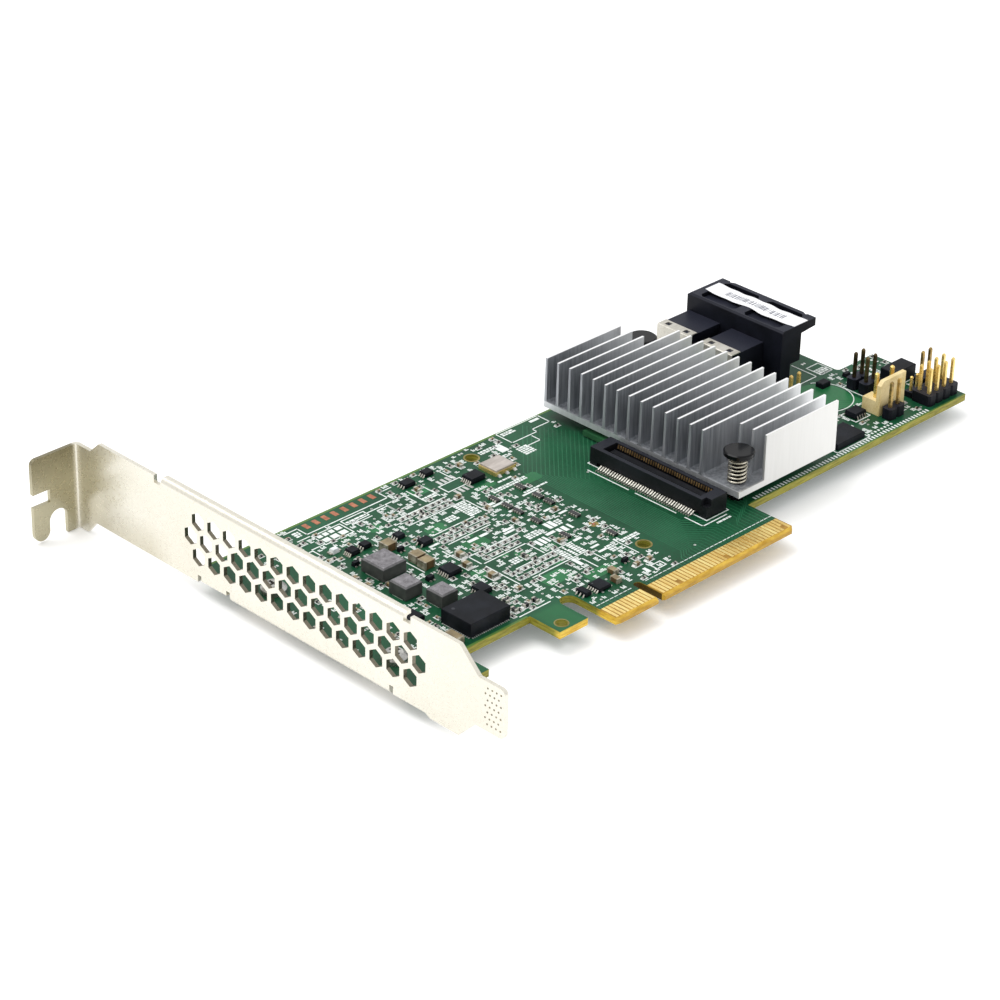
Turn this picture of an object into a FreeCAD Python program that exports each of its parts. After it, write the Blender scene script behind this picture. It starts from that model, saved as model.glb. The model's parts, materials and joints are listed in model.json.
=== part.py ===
"""RAID controller card: a low-height PCI Express x8 card on a full-height slot bracket.

Millimetres.  The origin is on the bottom edge of the edge connector, at the centre of its key
notch, in the plane of the component side.  +X runs along the card away from the slot bracket,
+Y from the edge connector to the card's back edge, +Z out of the component side.
"""
import FreeCAD, Part
import math
import os

Vector = FreeCAD.Vector

# ---------------------------------------------------------------- printed circuit board
BOARD_THICKNESS = 1.57
BOARD_LEFT = -57.15            # edge beside the slot bracket
BOARD_RIGHT = 110.5            # free end
BOARD_BACK = 68.35             # back edge
BOARD_FRONT = 12.3             # straight front edge beside the connector tongues
LEG_RIGHT = -42.4              # the board is deeper beside the bracket
LEG_FRONT = 4.4
EAR_LEFT = -23.6               # hold-down ear beside the short tongue
EAR_RIGHT = -15.97
EAR_HOLE_X = -21.0
EAR_HOLE_Y = 6.5
EAR_HOLE_R = 1.2
SLOT_TOP = 13.0                # round end of the slot between ear and tongue
SHORT_TONGUE_LEFT = -12.15
LONG_TONGUE_RIGHT = 39.15
KEY_HALF = 0.95                # half of the key notch
KEY_TOP = 7.2
TONGUE_CORNER = 0.8
BEVEL_RUN = 0.8
BEVEL_DROP = 0.4
STEP_X = BOARD_RIGHT - 11.7    # the back half is shorter than the front half
STEP_Y = 38.1
STEP_RADIUS = 1.0

# ---------------------------------------------------------------- edge contacts
PAD_PITCH = 1.0
PAD_WIDTH = 0.7
PAD_TOP = 4.85
PAD_SHORTER = 1.5              # presence-detect contacts stop short of the edge
PAD_THICKNESS = 0.05
SHORT_TONGUE_PADS = 11
LONG_TONGUE_PADS = 38
FIRST_PAD_FROM_KEY = 1.5
SHORT_PADS_COMPONENT_SIDE = (17, 31, 48)
SHORT_PADS_SOLDER_SIDE = (1,)

# ---------------------------------------------------------------- slot bracket
SHEET = 0.86
BRACKET_GAP = 1.04             # between the board's edge and the sheet's inner face
BRACKET_FACE = BOARD_LEFT - BRACKET_GAP - SHEET
BEND_INSIDE = 0.44
BRACKET_TOP = 16.6             # component-side edge
BRACKET_LOW = -BOARD_THICKNESS - 0.26
BRACKET_APRON_LOW = -BOARD_THICKNESS - 0.93
BRACKET_STEP_LOW = -BOARD_THICKNESS + 0.27
BRACKET_TAB_Y = 103.3          # underside of the screw tab
BRACKET_NECK_TOP = 14.0
BRACKET_NECK_LOW = -4.95
NECK_START = 101.0
TAB_REACH = 11.1               # from the outer face to the tab's free edge
TAB_CORNER = 1.3
TAB_NOTCH_LOW = 3.45
TAB_NOTCH_TOP = 6.3
TAB_NOTCH_DEPTH = 4.15
SCREW_NOTCH_WIDTH = 4.4
SCREW_NOTCH_TOP = 1.2
PRONG_WIDTH = 3.8
PRONG_END = -4.55
LIP_REACH = 1.95
LIP_START = 9.9
LIP_END = 77.4
LIP_RELIEF = 1.9
RELIEF_DEPTH = 1.6
FLANGE_START = 13.4            # folded edge that the board is screwed to
FLANGE_END = 57.6
FLANGE_REACH = 3.4
FLANGE_RELIEF = 1.0
EAR_TAB_REACH = 10.4           # the two screw ears of that fold
EAR_TAB_LENGTH = 10.8
FOOT_END = -16.0
FOOT_TOP = 12.0
FOOT_LOW = 1.7
FOOT_CORNER = 1.2
VENT_FLATS = 3.43
VENT_PITCH = 4.5
VENT_CENTRE_Y = 37.25
VENT_CENTRE_Z = 7.65
VENT_MIDDLE_COUNT = 15

# ---------------------------------------------------------------- bracket screws
SCREW_R = 1.25
SCREW_HOLE_R = 1.45
SCREW_HEAD_R = 2.6
SCREW_HEAD_HEIGHT = 1.7
SCREW_RECESS_ARM = 1.3          # cross recess
SCREW_RECESS_WIDTH = 0.6
SCREW_RECESS_DEPTH = 0.9
SCREW_BELOW = 0.9              # how far a screw's end stands below the ear
THREAD_CLEARANCE = 0.02

# ---------------------------------------------------------------- heatsink and its processor
SINK_X0 = 36.1
SINK_X1 = 66.3
SINK_Y0 = BOARD_FRONT + 0.05
SINK_UNDERSIDE = 2.5
SINK_BASE = 1.35
FIN_COUNT = 17
FIN_PITCH = 3.353
FIN_ROOT = 0.72
FIN_TIP = 0.5
FIN_TOP = 14.0
FIN_ROOT_BEVEL = 0.35
CLEARED_FINS = 3               # fins cut back at two corners for the push pins
CLEARED_LENGTH = 7.7
PIN_INSET_X = 3.6
PIN_INSET_Y = 3.65
REAR_PIN_INSET_X = 3.3
REAR_PIN_INSET_Y = 2.9
PACKAGE_SIZE = 31.0
PACKAGE_X = 51.2
PACKAGE_Y = 39.5
SOLDER_HEIGHT = 0.45
SUBSTRATE_TOP = 1.5
LID_SIZE = 26.0
THERMAL_PAD_SIZE = 27.0
THERMAL_PAD = 0.2

# ---------------------------------------------------------------- spring push pins
PIN_HEAD_R = 3.2
PIN_HEAD_TOP = 11.0
PIN_RIM = 1.0
PIN_COLLAR_Z = 9.0             # underside of the head, where the spring bears
PIN_SHANK_R = 1.25
PIN_HOLE_CLEARANCE = 0.25
PIN_BARB_R = 1.75
PIN_BARB_LENGTH = 2.2
PIN_SPLIT = 0.5
SPRING_WIRE_R = 0.24
SPRING_MEAN_R = 1.82
SPRING_TURNS = 6
SPRING_FLATS = 10              # straight runs in one turn of the wire
SEAT_CLEARANCE = 0.03

# ---------------------------------------------------------------- two-port SAS connector
HOOD_X0 = STEP_X - 15.8
HOOD_MOUTH = HOOD_X0 + 6.4
HOOD_FOOT = HOOD_X0 + 3.3
HOOD_VISOR = HOOD_X0 + 11.5
HOOD_Y0 = BOARD_BACK - 26.75
HOOD_Y1 = BOARD_BACK
HOOD_TOP = 13.2
HOOD_SHELF = 9.1               # underside of the hood's rear rim and top of the port bodies
HOOD_VISOR_LOW = 11.0
HOOD_MOUTH_LOW = 4.55
HOOD_EDGE = 0.4
HOOD_WING = 0.5                # rib on the hood's far end, clear of the board's back edge
HOOD_WING_LENGTH = 2.8
PORT_PITCH = 12.4
PORT_WIDTH = 9.0
PORT_X0 = HOOD_X0 - 10.1
PORT_FAR_END = BOARD_BACK - 0.2
MOUTH_WIDTH = 11.0
MOUTH_HEIGHT = 5.4
MOUTH_FLOOR = 5.5
MOUTH_BACK = HOOD_X0 + 1.1
MOUTH_WALL = 1.6
POCKET_DEPTH = 1.0
POCKET_X0 = HOOD_X0 + 0.7
POCKET_X1 = HOOD_VISOR - 1.5
POCKET_WIDTH = 9.9
POCKET_Y0 = HOOD_Y0 + 2.2
POCKET_CORNER = 0.8
SHIELD = 0.25
SHIELD_STRIP = 2.6
SHIELD_WINDOW = 1.3
SHIELD_WINDOW_INSET = 1.9
CONTACT_BLOCK_HEIGHT = 4.2
CONTACT_BLOCK_WIDTH = 8.4
CONTACT_BLOCK_DEPTH = 2.3
CONTACT_BLOCK_WALL = 0.5
CONTACT_BLOCK_BACK = 0.6
CARD_SLOT = 1.0
SAS_CONTACTS_PER_ROW = 9
SAS_CONTACT_PITCH = 0.75
SAS_BLADE = 0.3
SAS_BLADE_LENGTH = 1.4
LABEL_X0 = HOOD_X0 + 3.5
LABEL_X1 = HOOD_X0 + 8.5
LABEL_THICKNESS = 0.1
LABEL_INSET = 1.2

# ---------------------------------------------------------------- mezzanine connector
MEZZ_X0 = 28.4
MEZZ_X1 = 34.5
MEZZ_Y0 = 14.1
MEZZ_Y1 = 46.0
MEZZ_TOP = 4.0
MEZZ_WALL = 1.0
MEZZ_END_WALL = 2.6
MEZZ_FLOOR = 1.0
MEZZ_TONGUE = 1.5
MEZZ_TONGUE_TOP = 3.2
MEZZ_PITCH = 0.65
MEZZ_COUNT = 40
MEZZ_CONTACT_WIDTH = 0.3
MEZZ_CONTACT_THICKNESS = 0.2
MEZZ_TAIL = 1.7                # reach of a solder tail from the wall
MEZZ_TAIL_FOOT = 0.9           # its flat part on the board
MEZZ_SHOULDER = 0.75           # height at which it enters the wall
MEZZ_POCKET = 0.5              # depth of the recess under the wall that holds it

# ---------------------------------------------------------------- pin headers
HEADER_PITCH = 2.54
HEADER_HEIGHT = 2.5
HEADER_CELL_CHAMFER = 0.45
HEADER_PIN = 0.64
HEADER_PIN_TOP = 8.5
HEADER_TAIL = 1.1              # below the solder side
PIN_POINT = 0.35
SLIP = 0.02                    # clearance of a pin in its moulded base


# ---------------------------------------------------------------- drawing helpers
def on_xy(z):
    """Places a flat outline's two numbers at X, Y on the level z."""
    return lambda x, y: Vector(x, y, z)


def on_yz(x):
    """Places a flat outline's two numbers at Y, Z on the plane x."""
    return lambda y, z: Vector(x, y, z)


def on_xz(y):
    """Places a flat outline's two numbers at X, Z on the plane y."""
    return lambda x, z: Vector(x, y, z)


def face_of(path, place):
    """Closed face through the path's points; a step (via, end) is an arc through via."""
    edges = []
    here = place(*path[0])
    for step in path[1:] + [path[0]]:
        if isinstance(step[0], tuple):
            end = place(*step[1])
            edges.append(Part.Arc(here, place(*step[0]), end).toShape())
        else:
            end = place(*step)
            edges.append(Part.LineSegment(here, end).toShape())
        here = end
    return Part.Face(Part.Wire(edges))


def slab_z(path, z0, z1):
    """Outline in X, Y carried from z0 to z1."""
    return face_of(path, on_xy(z0)).extrude(Vector(0, 0, z1 - z0))


def slab_x(path, x0, x1):
    """Outline in Y, Z carried from x0 to x1."""
    return face_of(path, on_yz(x0)).extrude(Vector(x1 - x0, 0, 0))


def slab_y(path, y0, y1):
    """Outline in X, Z carried from y0 to y1."""
    return face_of(path, on_xz(y0)).extrude(Vector(0, y1 - y0, 0))


def block(x0, y0, z0, x1, y1, z1):
    """Box between two corners."""
    return Part.makeBox(x1 - x0, y1 - y0, z1 - z0, Vector(x0, y0, z0))


def rod(x, y, z0, z1, radius):
    """Upright cylinder."""
    return Part.makeCylinder(radius, z1 - z0, Vector(x, y, z0), Vector(0, 0, 1))


def turned(x, y, profile):
    """Solid of revolution about the upright axis through x, y; the profile is (radius, z)."""
    solid = face_of(profile, on_xz(0)).revolve(Vector(0, 0, 0), Vector(0, 0, 1), 360)
    return solid.translate(Vector(x, y, 0))


def stepped_block(x0, y0, x1, y1, levels):
    """Block whose outline shrinks by the inset given at each level (z, inset)."""
    rings = []
    for z, inset in levels:
        corners = [
            Vector(x0 + inset, y0 + inset, z),
            Vector(x1 - inset, y0 + inset, z),
            Vector(x1 - inset, y1 - inset, z),
            Vector(x0 + inset, y1 - inset, z),
        ]
        rings.append(Part.makePolygon(corners + [corners[0]]))
    return Part.makeLoft(rings, True, True)


def arc_step(cx, cy, radius, start_deg, end_deg):
    """Arc step (via, end) about cx, cy, for a path that stands at the start angle."""
    middle = math.radians((start_deg + end_deg) / 2)
    end = math.radians(end_deg)
    via_point = (cx + radius * math.cos(middle), cy + radius * math.sin(middle))
    end_point = (cx + radius * math.cos(end), cy + radius * math.sin(end))
    return (via_point, end_point)


def save(node, solids):
    """One STEP file for a node, which may be a group of separate solids."""
    shape = solids[0] if len(solids) == 1 else Part.makeCompound(solids)
    shape.exportStep(os.path.join("parts", node + ".step"))
    print(node, len(solids), round(sum(solid.Volume for solid in solids), 3))


# ---------------------------------------------------------------- places that several pieces share
EAR_TAB_CENTRES = (
    FLANGE_START + EAR_TAB_LENGTH / 2,
    FLANGE_END - EAR_TAB_LENGTH / 2,
)
SCREW_X = BRACKET_FACE + EAR_TAB_REACH - SCREW_HEAD_R - 1.4
SINK_Y1 = SINK_Y0 + (FIN_COUNT - 1) * FIN_PITCH + FIN_ROOT
SINK_BASE_TOP = SINK_UNDERSIDE + SINK_BASE
PUSH_PINS = (
    (SINK_X0 + PIN_INSET_X, SINK_Y0 + PIN_INSET_Y),
    (SINK_X1 - REAR_PIN_INSET_X, SINK_Y1 - REAR_PIN_INSET_Y),
)
CACHE_STUD_X = 12.2
CACHE_STUD_YS = (16.0, BOARD_BACK - 4.2)
CACHE_STUD_HOLE_R = 1.35

# Headers: name, first pin, columns along X, rows along Y
CORNER_HEADER_X = BOARD_RIGHT - 0.79 - 3.5 * HEADER_PITCH
CORNER_HEADER_Y = BOARD_FRONT + 1.38 + 0.5 * HEADER_PITCH
HEADERS = (
    ("activity_header", (BOARD_RIGHT - 15.5, 30.77), 2, 1),
    ("fault_header", (BOARD_RIGHT - 15.5, 27.5), 2, 1),
    ("service_header", (SINK_X1 + 10.0, 33.1), 2, 1),
    ("jumper_header", (BOARD_RIGHT - 20.8, 16.67), 2, 1),
    ("corner_header", (CORNER_HEADER_X, CORNER_HEADER_Y), 4, 2),
    ("edge_header", (BOARD_RIGHT - 4.4, 21.27), 2, 1),
)
LOCKING_X0 = BOARD_RIGHT - 22.1
LOCKING_X1 = LOCKING_X0 + 8.4
LOCKING_Y0 = 18.5
LOCKING_Y1 = 23.1
LOCKING_BASE = 3.2
LOCKING_NOTCH_MARGIN = 3.2
LOCKING_NOTCH_DEPTH = 0.8
LOCKING_NOTCH_DROP = 1.5
LOCKING_WALL = 1.0
LOCKING_WALL_TOP = 8.0
LOCKING_WALL_CORNER = 1.0
LOCKING_PINS = ((LOCKING_X0 + 1.7, 21.0), (LOCKING_X1 - 1.6, 21.0))
LOCKING_PIN_TOP = 8.9
LOCKING_PIN_R = 0.5
SMALL_HEADER_Y = CORNER_HEADER_Y + 2 * HEADER_PITCH - 0.08
SMALL_HEADER_PINS = ((BOARD_RIGHT - 9.5, SMALL_HEADER_Y), (BOARD_RIGHT - 7.5, SMALL_HEADER_Y))
SMALL_HEADER_BASE = 1.3
SMALL_HEADER_HALF = 0.95
SMALL_PIN_R = 0.35
SMALL_PIN_TOP = 4.7


# ---------------------------------------------------------------- board and contacts
def header_pin_places(first, columns, rows):
    """Centres of a header's pins."""
    return [
        (first[0] + column * HEADER_PITCH, first[1] + row * HEADER_PITCH)
        for row in range(rows)
        for column in range(columns)
    ]


def board():
    """Board blank with its tongues, notches and holes."""
    slot_r = (SHORT_TONGUE_LEFT - EAR_RIGHT) / 2
    slot_x = (SHORT_TONGUE_LEFT + EAR_RIGHT) / 2
    step_r = STEP_RADIUS
    path = [
        (BOARD_LEFT, LEG_FRONT),
        (LEG_RIGHT, LEG_FRONT),
        (LEG_RIGHT, BOARD_FRONT),
        (EAR_LEFT, BOARD_FRONT),
        (EAR_LEFT, LEG_FRONT),
        (EAR_RIGHT, LEG_FRONT),
        (EAR_RIGHT, SLOT_TOP - slot_r),
        arc_step(slot_x, SLOT_TOP - slot_r, slot_r, 180, 0),
        (SHORT_TONGUE_LEFT, TONGUE_CORNER),
        (SHORT_TONGUE_LEFT + TONGUE_CORNER, 0),
        (-KEY_HALF, 0),
        (-KEY_HALF, KEY_TOP - KEY_HALF),
        arc_step(0, KEY_TOP - KEY_HALF, KEY_HALF, 180, 0),
        (KEY_HALF, 0),
        (LONG_TONGUE_RIGHT - TONGUE_CORNER, 0),
        (LONG_TONGUE_RIGHT, TONGUE_CORNER),
        (LONG_TONGUE_RIGHT, BOARD_FRONT),
        (BOARD_RIGHT, BOARD_FRONT),
        (BOARD_RIGHT, STEP_Y),
        (STEP_X + step_r, STEP_Y),
        arc_step(STEP_X + step_r, STEP_Y + step_r, step_r, 270, 180),
        (STEP_X, BOARD_BACK),
        (BOARD_LEFT, BOARD_BACK),
    ]
    blank = slab_z(path, -BOARD_THICKNESS, 0)
    low = -BOARD_THICKNESS
    upper_bevel = [(BEVEL_RUN, 0), (BEVEL_RUN, 1), (-1, 1), (-1, -BEVEL_DROP), (0, -BEVEL_DROP)]
    lower_bevel = [
        (BEVEL_RUN, low), (BEVEL_RUN, low - 1), (-1, low - 1), (-1, low + BEVEL_DROP), (0, low + BEVEL_DROP),
    ]
    cuts = [slab_x(wedge, SHORT_TONGUE_LEFT, LONG_TONGUE_RIGHT) for wedge in (upper_bevel, lower_bevel)]
    cuts += [rod(x, y, low - 1, 1, radius) for x, y, radius in board_holes()]
    cuts += [square_about(x, y, HEADER_PIN + 2 * SLIP, low - 1, 1) for x, y in header_posts()]
    return blank.cut(cuts)


def header_posts():
    """Centres of every square post that is soldered into the board."""
    return [place for header in HEADERS for place in header_pin_places(*header[1:])]


def board_holes():
    """Every round hole as (x, y, radius)."""
    holes = [(EAR_HOLE_X, EAR_HOLE_Y, EAR_HOLE_R)]
    holes += [(SCREW_X, y, SCREW_HOLE_R) for y in EAR_TAB_CENTRES]
    holes += [(CACHE_STUD_X, y, CACHE_STUD_HOLE_R) for y in CACHE_STUD_YS]
    holes += [(x, y, PIN_SHANK_R + PIN_HOLE_CLEARANCE) for x, y in PUSH_PINS]
    holes += [(x, y, LOCKING_PIN_R + SLIP) for x, y in LOCKING_PINS]
    holes += [(x, y, SMALL_PIN_R + SLIP) for x, y in SMALL_HEADER_PINS]
    return holes


def pad_places():
    """Contact number and X of every edge contact, counted from the bracket end."""
    places = []
    for index in range(SHORT_TONGUE_PADS):
        places.append((index + 1, -FIRST_PAD_FROM_KEY - (SHORT_TONGUE_PADS - 1 - index) * PAD_PITCH))
    for index in range(LONG_TONGUE_PADS):
        places.append((SHORT_TONGUE_PADS + index + 1, FIRST_PAD_FROM_KEY + index * PAD_PITCH))
    return places


def edge_contacts():
    """Plated pads on both faces of the tongues."""
    faces = (
        (0, PAD_THICKNESS, SHORT_PADS_COMPONENT_SIDE),
        (-BOARD_THICKNESS - PAD_THICKNESS, -BOARD_THICKNESS, SHORT_PADS_SOLDER_SIDE),
    )
    pads = []
    for z0, z1, short_pads in faces:
        for number, x in pad_places():
            y0 = BEVEL_RUN + (PAD_SHORTER if number in short_pads else 0)
            pads.append(block(x - PAD_WIDTH / 2, y0, z0, x + PAD_WIDTH / 2, PAD_TOP, z1))
    return pads


# ---------------------------------------------------------------- slot bracket
def bent_sheet(corner, along, across, reach_along, reach_across, extrude, span):
    """L of sheet round one bend.

    corner is where the two outer faces would meet; along and across are the unit directions in
    which the two legs run from it, and the material lies on the inner side of both.
    """
    inner = BEND_INSIDE
    outer = BEND_INSIDE + SHEET
    bend = math.sqrt(0.5)

    def place(a, b):
        return corner + along * a + across * b

    points = [
        (reach_along, 0),
        (reach_along, SHEET),
        (outer, SHEET),
        ((outer - inner * bend, outer - inner * bend), (SHEET, outer)),
        (SHEET, reach_across),
        (0, reach_across),
        (0, outer),
        ((outer - outer * bend, outer - outer * bend), (outer, 0)),
    ]
    return face_of(points, place).extrude(extrude * span)


def bracket_plate():
    """Flat main plate, without the folded edges."""
    relief_top = BRACKET_TOP - RELIEF_DEPTH
    fold_top = BRACKET_TOP - SHEET - BEND_INSIDE - 0.5
    fold_low = -BOARD_THICKNESS + BEND_INSIDE + 0.3
    relief_low = BRACKET_LOW + RELIEF_DEPTH
    path = [
        (NECK_START, BRACKET_NECK_TOP),
        (98.9, BRACKET_NECK_TOP),
        (96.2, BRACKET_TOP),
        (LIP_END + LIP_RELIEF, BRACKET_TOP),
        (LIP_END + LIP_RELIEF, relief_top),
        (LIP_END, relief_top),
        (LIP_END, fold_top),
        (LIP_START, fold_top),
        (LIP_START, relief_top),
        (LIP_START - LIP_RELIEF, relief_top),
        (LIP_START - LIP_RELIEF, BRACKET_TOP),
        (-4.5, BRACKET_TOP),
        (-9.4, FOOT_TOP),
        (FOOT_END + FOOT_CORNER, FOOT_TOP),
        arc_step(FOOT_END + FOOT_CORNER, FOOT_TOP - FOOT_CORNER, FOOT_CORNER, 90, 180),
        (FOOT_END, FOOT_LOW + FOOT_CORNER),
        arc_step(FOOT_END + FOOT_CORNER, FOOT_LOW + FOOT_CORNER, FOOT_CORNER, 180, 270),
        (-8.7, FOOT_LOW),
        (-4.6, BRACKET_APRON_LOW),
        (2.7, BRACKET_APRON_LOW),
        (4.0, BRACKET_LOW),
        (FLANGE_START - FLANGE_RELIEF, BRACKET_LOW),
        (FLANGE_START - FLANGE_RELIEF, relief_low),
        (FLANGE_START, relief_low),
        (FLANGE_START, fold_low),
        (FLANGE_END, fold_low),
        (FLANGE_END, relief_low),
        (FLANGE_END + FLANGE_RELIEF, relief_low),
        (FLANGE_END + FLANGE_RELIEF, BRACKET_STEP_LOW),
        (65.9, BRACKET_STEP_LOW),
        (65.9, relief_low),
        (66.9, relief_low),
        (66.9, BRACKET_LOW),
        (98.0, BRACKET_LOW),
        (100.7, BRACKET_NECK_LOW),
        (NECK_START, BRACKET_NECK_LOW),
    ]
    plate = slab_x(path, BRACKET_FACE, BRACKET_FACE + SHEET)
    return plate.cut(bracket_vents())


def bracket_vents():
    """Three staggered rows of hexagonal holes, points up and down."""
    corner_r = VENT_FLATS / math.sqrt(3)
    row_step = VENT_PITCH * math.sqrt(3) / 2
    holes = []
    for row in (-1, 0, 1):
        count = VENT_MIDDLE_COUNT - abs(row)
        for index in range(count):
            y = VENT_CENTRE_Y + (index - (count - 1) / 2) * VENT_PITCH
            z = VENT_CENTRE_Z + row * row_step
            path = []
            for angle in range(0, 360, 60):
                turn = math.radians(angle)
                path.append((y + corner_r * math.sin(turn), z + corner_r * math.cos(turn)))
            holes.append(slab_x(path, BRACKET_FACE - 1, BRACKET_FACE + SHEET + 1))
    return holes


def bracket_tab():
    """Neck and screw tab, one right-angle bend, trimmed to the tab's outline."""
    free_edge = BRACKET_FACE - TAB_REACH
    corner = Vector(BRACKET_FACE + SHEET, BRACKET_TAB_Y + SHEET, BRACKET_NECK_LOW)
    height = BRACKET_NECK_TOP - BRACKET_NECK_LOW
    bent = bent_sheet(
        corner, Vector(0, -1, 0), Vector(-1, 0, 0),
        corner.y - NECK_START, TAB_REACH + SHEET, Vector(0, 0, 1), height,
    )
    notch_r = SCREW_NOTCH_WIDTH / 2
    notch_left = free_edge + PRONG_WIDTH
    notch_x = notch_left + notch_r
    prong_r = PRONG_WIDTH / 2
    path = [
        (BRACKET_FACE + 2, BRACKET_NECK_TOP),
        (free_edge + TAB_CORNER, BRACKET_NECK_TOP),
        arc_step(free_edge + TAB_CORNER, BRACKET_NECK_TOP - TAB_CORNER, TAB_CORNER, 90, 180),
        (free_edge, TAB_NOTCH_TOP),
        (free_edge + TAB_NOTCH_DEPTH, TAB_NOTCH_TOP),
        (free_edge + TAB_NOTCH_DEPTH, TAB_NOTCH_LOW),
        (free_edge, TAB_NOTCH_LOW),
        (free_edge, PRONG_END + prong_r),
        arc_step(free_edge + prong_r, PRONG_END + prong_r, prong_r, 180, 360),
        (notch_left, SCREW_NOTCH_TOP - notch_r),
        arc_step(notch_x, SCREW_NOTCH_TOP - notch_r, notch_r, 180, 0),
        (notch_left + SCREW_NOTCH_WIDTH, BRACKET_NECK_LOW),
        (BRACKET_FACE + 2, BRACKET_NECK_LOW),
    ]
    return bent.common(slab_y(path, NECK_START - 1, BRACKET_TAB_Y + SHEET + 1))


def bracket_lip():
    """Stiffening lip folded along the component-side edge."""
    corner = Vector(BRACKET_FACE, LIP_START, BRACKET_TOP)
    return bent_sheet(
        corner, Vector(0, 0, -1), Vector(1, 0, 0),
        SHEET + BEND_INSIDE + 1, LIP_REACH, Vector(0, 1, 0), LIP_END - LIP_START,
    )


def bracket_flange():
    """Edge folded under the board, with two ears that take the screws."""
    corner = Vector(BRACKET_FACE, FLANGE_START, -BOARD_THICKNESS - SHEET)
    bent = bent_sheet(
        corner, Vector(0, 0, 1), Vector(1, 0, 0),
        SHEET + BEND_INSIDE + 1, EAR_TAB_REACH, Vector(0, 1, 0), FLANGE_END - FLANGE_START,
    )
    gap = block(
        BRACKET_FACE + FLANGE_REACH, FLANGE_START + EAR_TAB_LENGTH, corner.z - 1,
        BRACKET_FACE + EAR_TAB_REACH + 1, FLANGE_END - EAR_TAB_LENGTH, 1,
    )
    holes = [rod(SCREW_X, y, corner.z - 1, 0, SCREW_R + THREAD_CLEARANCE) for y in EAR_TAB_CENTRES]
    return bent.cut([gap] + holes)


def bracket():
    """The whole bracket, one folded sheet."""
    return bracket_plate().fuse([bracket_tab(), bracket_lip(), bracket_flange()]).removeSplitter()


def bracket_screw(y):
    """Pan-head screw from the component side into an ear."""
    end = -BOARD_THICKNESS - SHEET - SCREW_BELOW
    head = SCREW_HEAD_HEIGHT
    profile = [
        (0, end),
        (SCREW_R, end),
        (SCREW_R, 0),
        (SCREW_HEAD_R, 0),
        (SCREW_HEAD_R, head * 0.5),
        (SCREW_HEAD_R * 0.65, head),
        (0, head),
    ]
    arm = SCREW_RECESS_ARM
    wing = SCREW_RECESS_WIDTH / 2
    floor = head - SCREW_RECESS_DEPTH
    recess = [block(-arm, -wing, floor, arm, wing, head + 1), block(-wing, -arm, floor, wing, arm, head + 1)]
    screw = turned(0, 0, profile).cut(recess)
    return screw.translate(Vector(SCREW_X, y, 0))


# ---------------------------------------------------------------- heatsink, push pins, processor
def heatsink():
    """Extruded section of base and tapered fins, cut back at two corners."""
    root = FIN_ROOT / 2
    tip = FIN_TIP / 2
    bevel = FIN_ROOT_BEVEL
    top = SINK_BASE_TOP
    path = [(SINK_Y0, SINK_UNDERSIDE)]
    for index in range(FIN_COUNT):
        y = SINK_Y0 + root + index * FIN_PITCH
        if index > 0:
            path.append((y - root - bevel, top))
            path.append((y - root, top + bevel))
        path.append((y - tip, FIN_TOP))
        path.append((y + tip, FIN_TOP))
        if index < FIN_COUNT - 1:
            path.append((y + root, top + bevel))
            path.append((y + root + bevel, top))
    path.append((SINK_Y1, SINK_UNDERSIDE))
    section = slab_x(path, SINK_X0, SINK_X1)
    cleared = CLEARED_FINS * FIN_PITCH
    cuts = [
        block(SINK_X0 - 1, SINK_Y0 - 1, top, SINK_X0 + CLEARED_LENGTH, SINK_Y0 + cleared - 1, FIN_TOP + 1),
        block(SINK_X1 - CLEARED_LENGTH, SINK_Y1 - cleared + 1, top, SINK_X1 + 1, SINK_Y1 + 1, FIN_TOP + 1),
    ]
    cuts += [rod(x, y, SINK_UNDERSIDE - 1, top + 1, PIN_SHANK_R + PIN_HOLE_CLEARANCE) for x, y in PUSH_PINS]
    return section.cut(cuts)


def push_pin(x, y):
    """Moulded pin: domed head, straight shank, split barb under the board."""
    under = -BOARD_THICKNESS - SEAT_CLEARANCE
    profile = [
        (0, under - PIN_BARB_LENGTH),
        (PIN_SHANK_R * 0.7, under - PIN_BARB_LENGTH),
        (PIN_BARB_R, under - 0.5),
        (PIN_BARB_R, under),
        (PIN_SHANK_R, under),
        (PIN_SHANK_R, PIN_COLLAR_Z),
        (SPRING_MEAN_R + SPRING_WIRE_R, PIN_COLLAR_Z),
        (PIN_HEAD_R, PIN_HEAD_TOP - PIN_RIM),
        (PIN_HEAD_R, PIN_HEAD_TOP - 0.2),
        (PIN_HEAD_R - 0.3, PIN_HEAD_TOP),
        (0, PIN_HEAD_TOP),
    ]
    split = block(-PIN_SPLIT / 2, -3, under - PIN_BARB_LENGTH - 1, PIN_SPLIT / 2, 3, under + 2.2)
    return turned(0, 0, profile).cut(split).translate(Vector(x, y, 0))


def pin_spring(x, y):
    """Compression spring of square wire between the heatsink's base and the pin's head."""
    low = SINK_BASE_TOP + SPRING_WIRE_R + SEAT_CLEARANCE
    high = PIN_COLLAR_Z - SPRING_WIRE_R - SEAT_CLEARANCE
    steps = SPRING_TURNS * SPRING_FLATS
    sections = []
    for step in range(steps + 1):
        angle = 2 * math.pi * step / SPRING_FLATS
        level = low + (high - low) * step / steps
        corners = []
        for out, up in ((-1, -1), (1, -1), (1, 1), (-1, 1)):
            radius = SPRING_MEAN_R + out * SPRING_WIRE_R
            height = level + up * SPRING_WIRE_R
            corners.append(Vector(x + radius * math.cos(angle), y + radius * math.sin(angle), height))
        sections.append(Part.makePolygon(corners + [corners[0]]))
    return Part.makeLoft(sections, True, True)


def square_about(x, y, size, z0, z1):
    """Square plate centred on x, y."""
    return block(x - size / 2, y - size / 2, z0, x + size / 2, y + size / 2, z1)


# ---------------------------------------------------------------- SAS connector
def port_y0(port):
    """Lower side of a rear port body; port 0 is the near one."""
    return PORT_FAR_END - PORT_WIDTH - (1 - port) * PORT_PITCH


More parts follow.
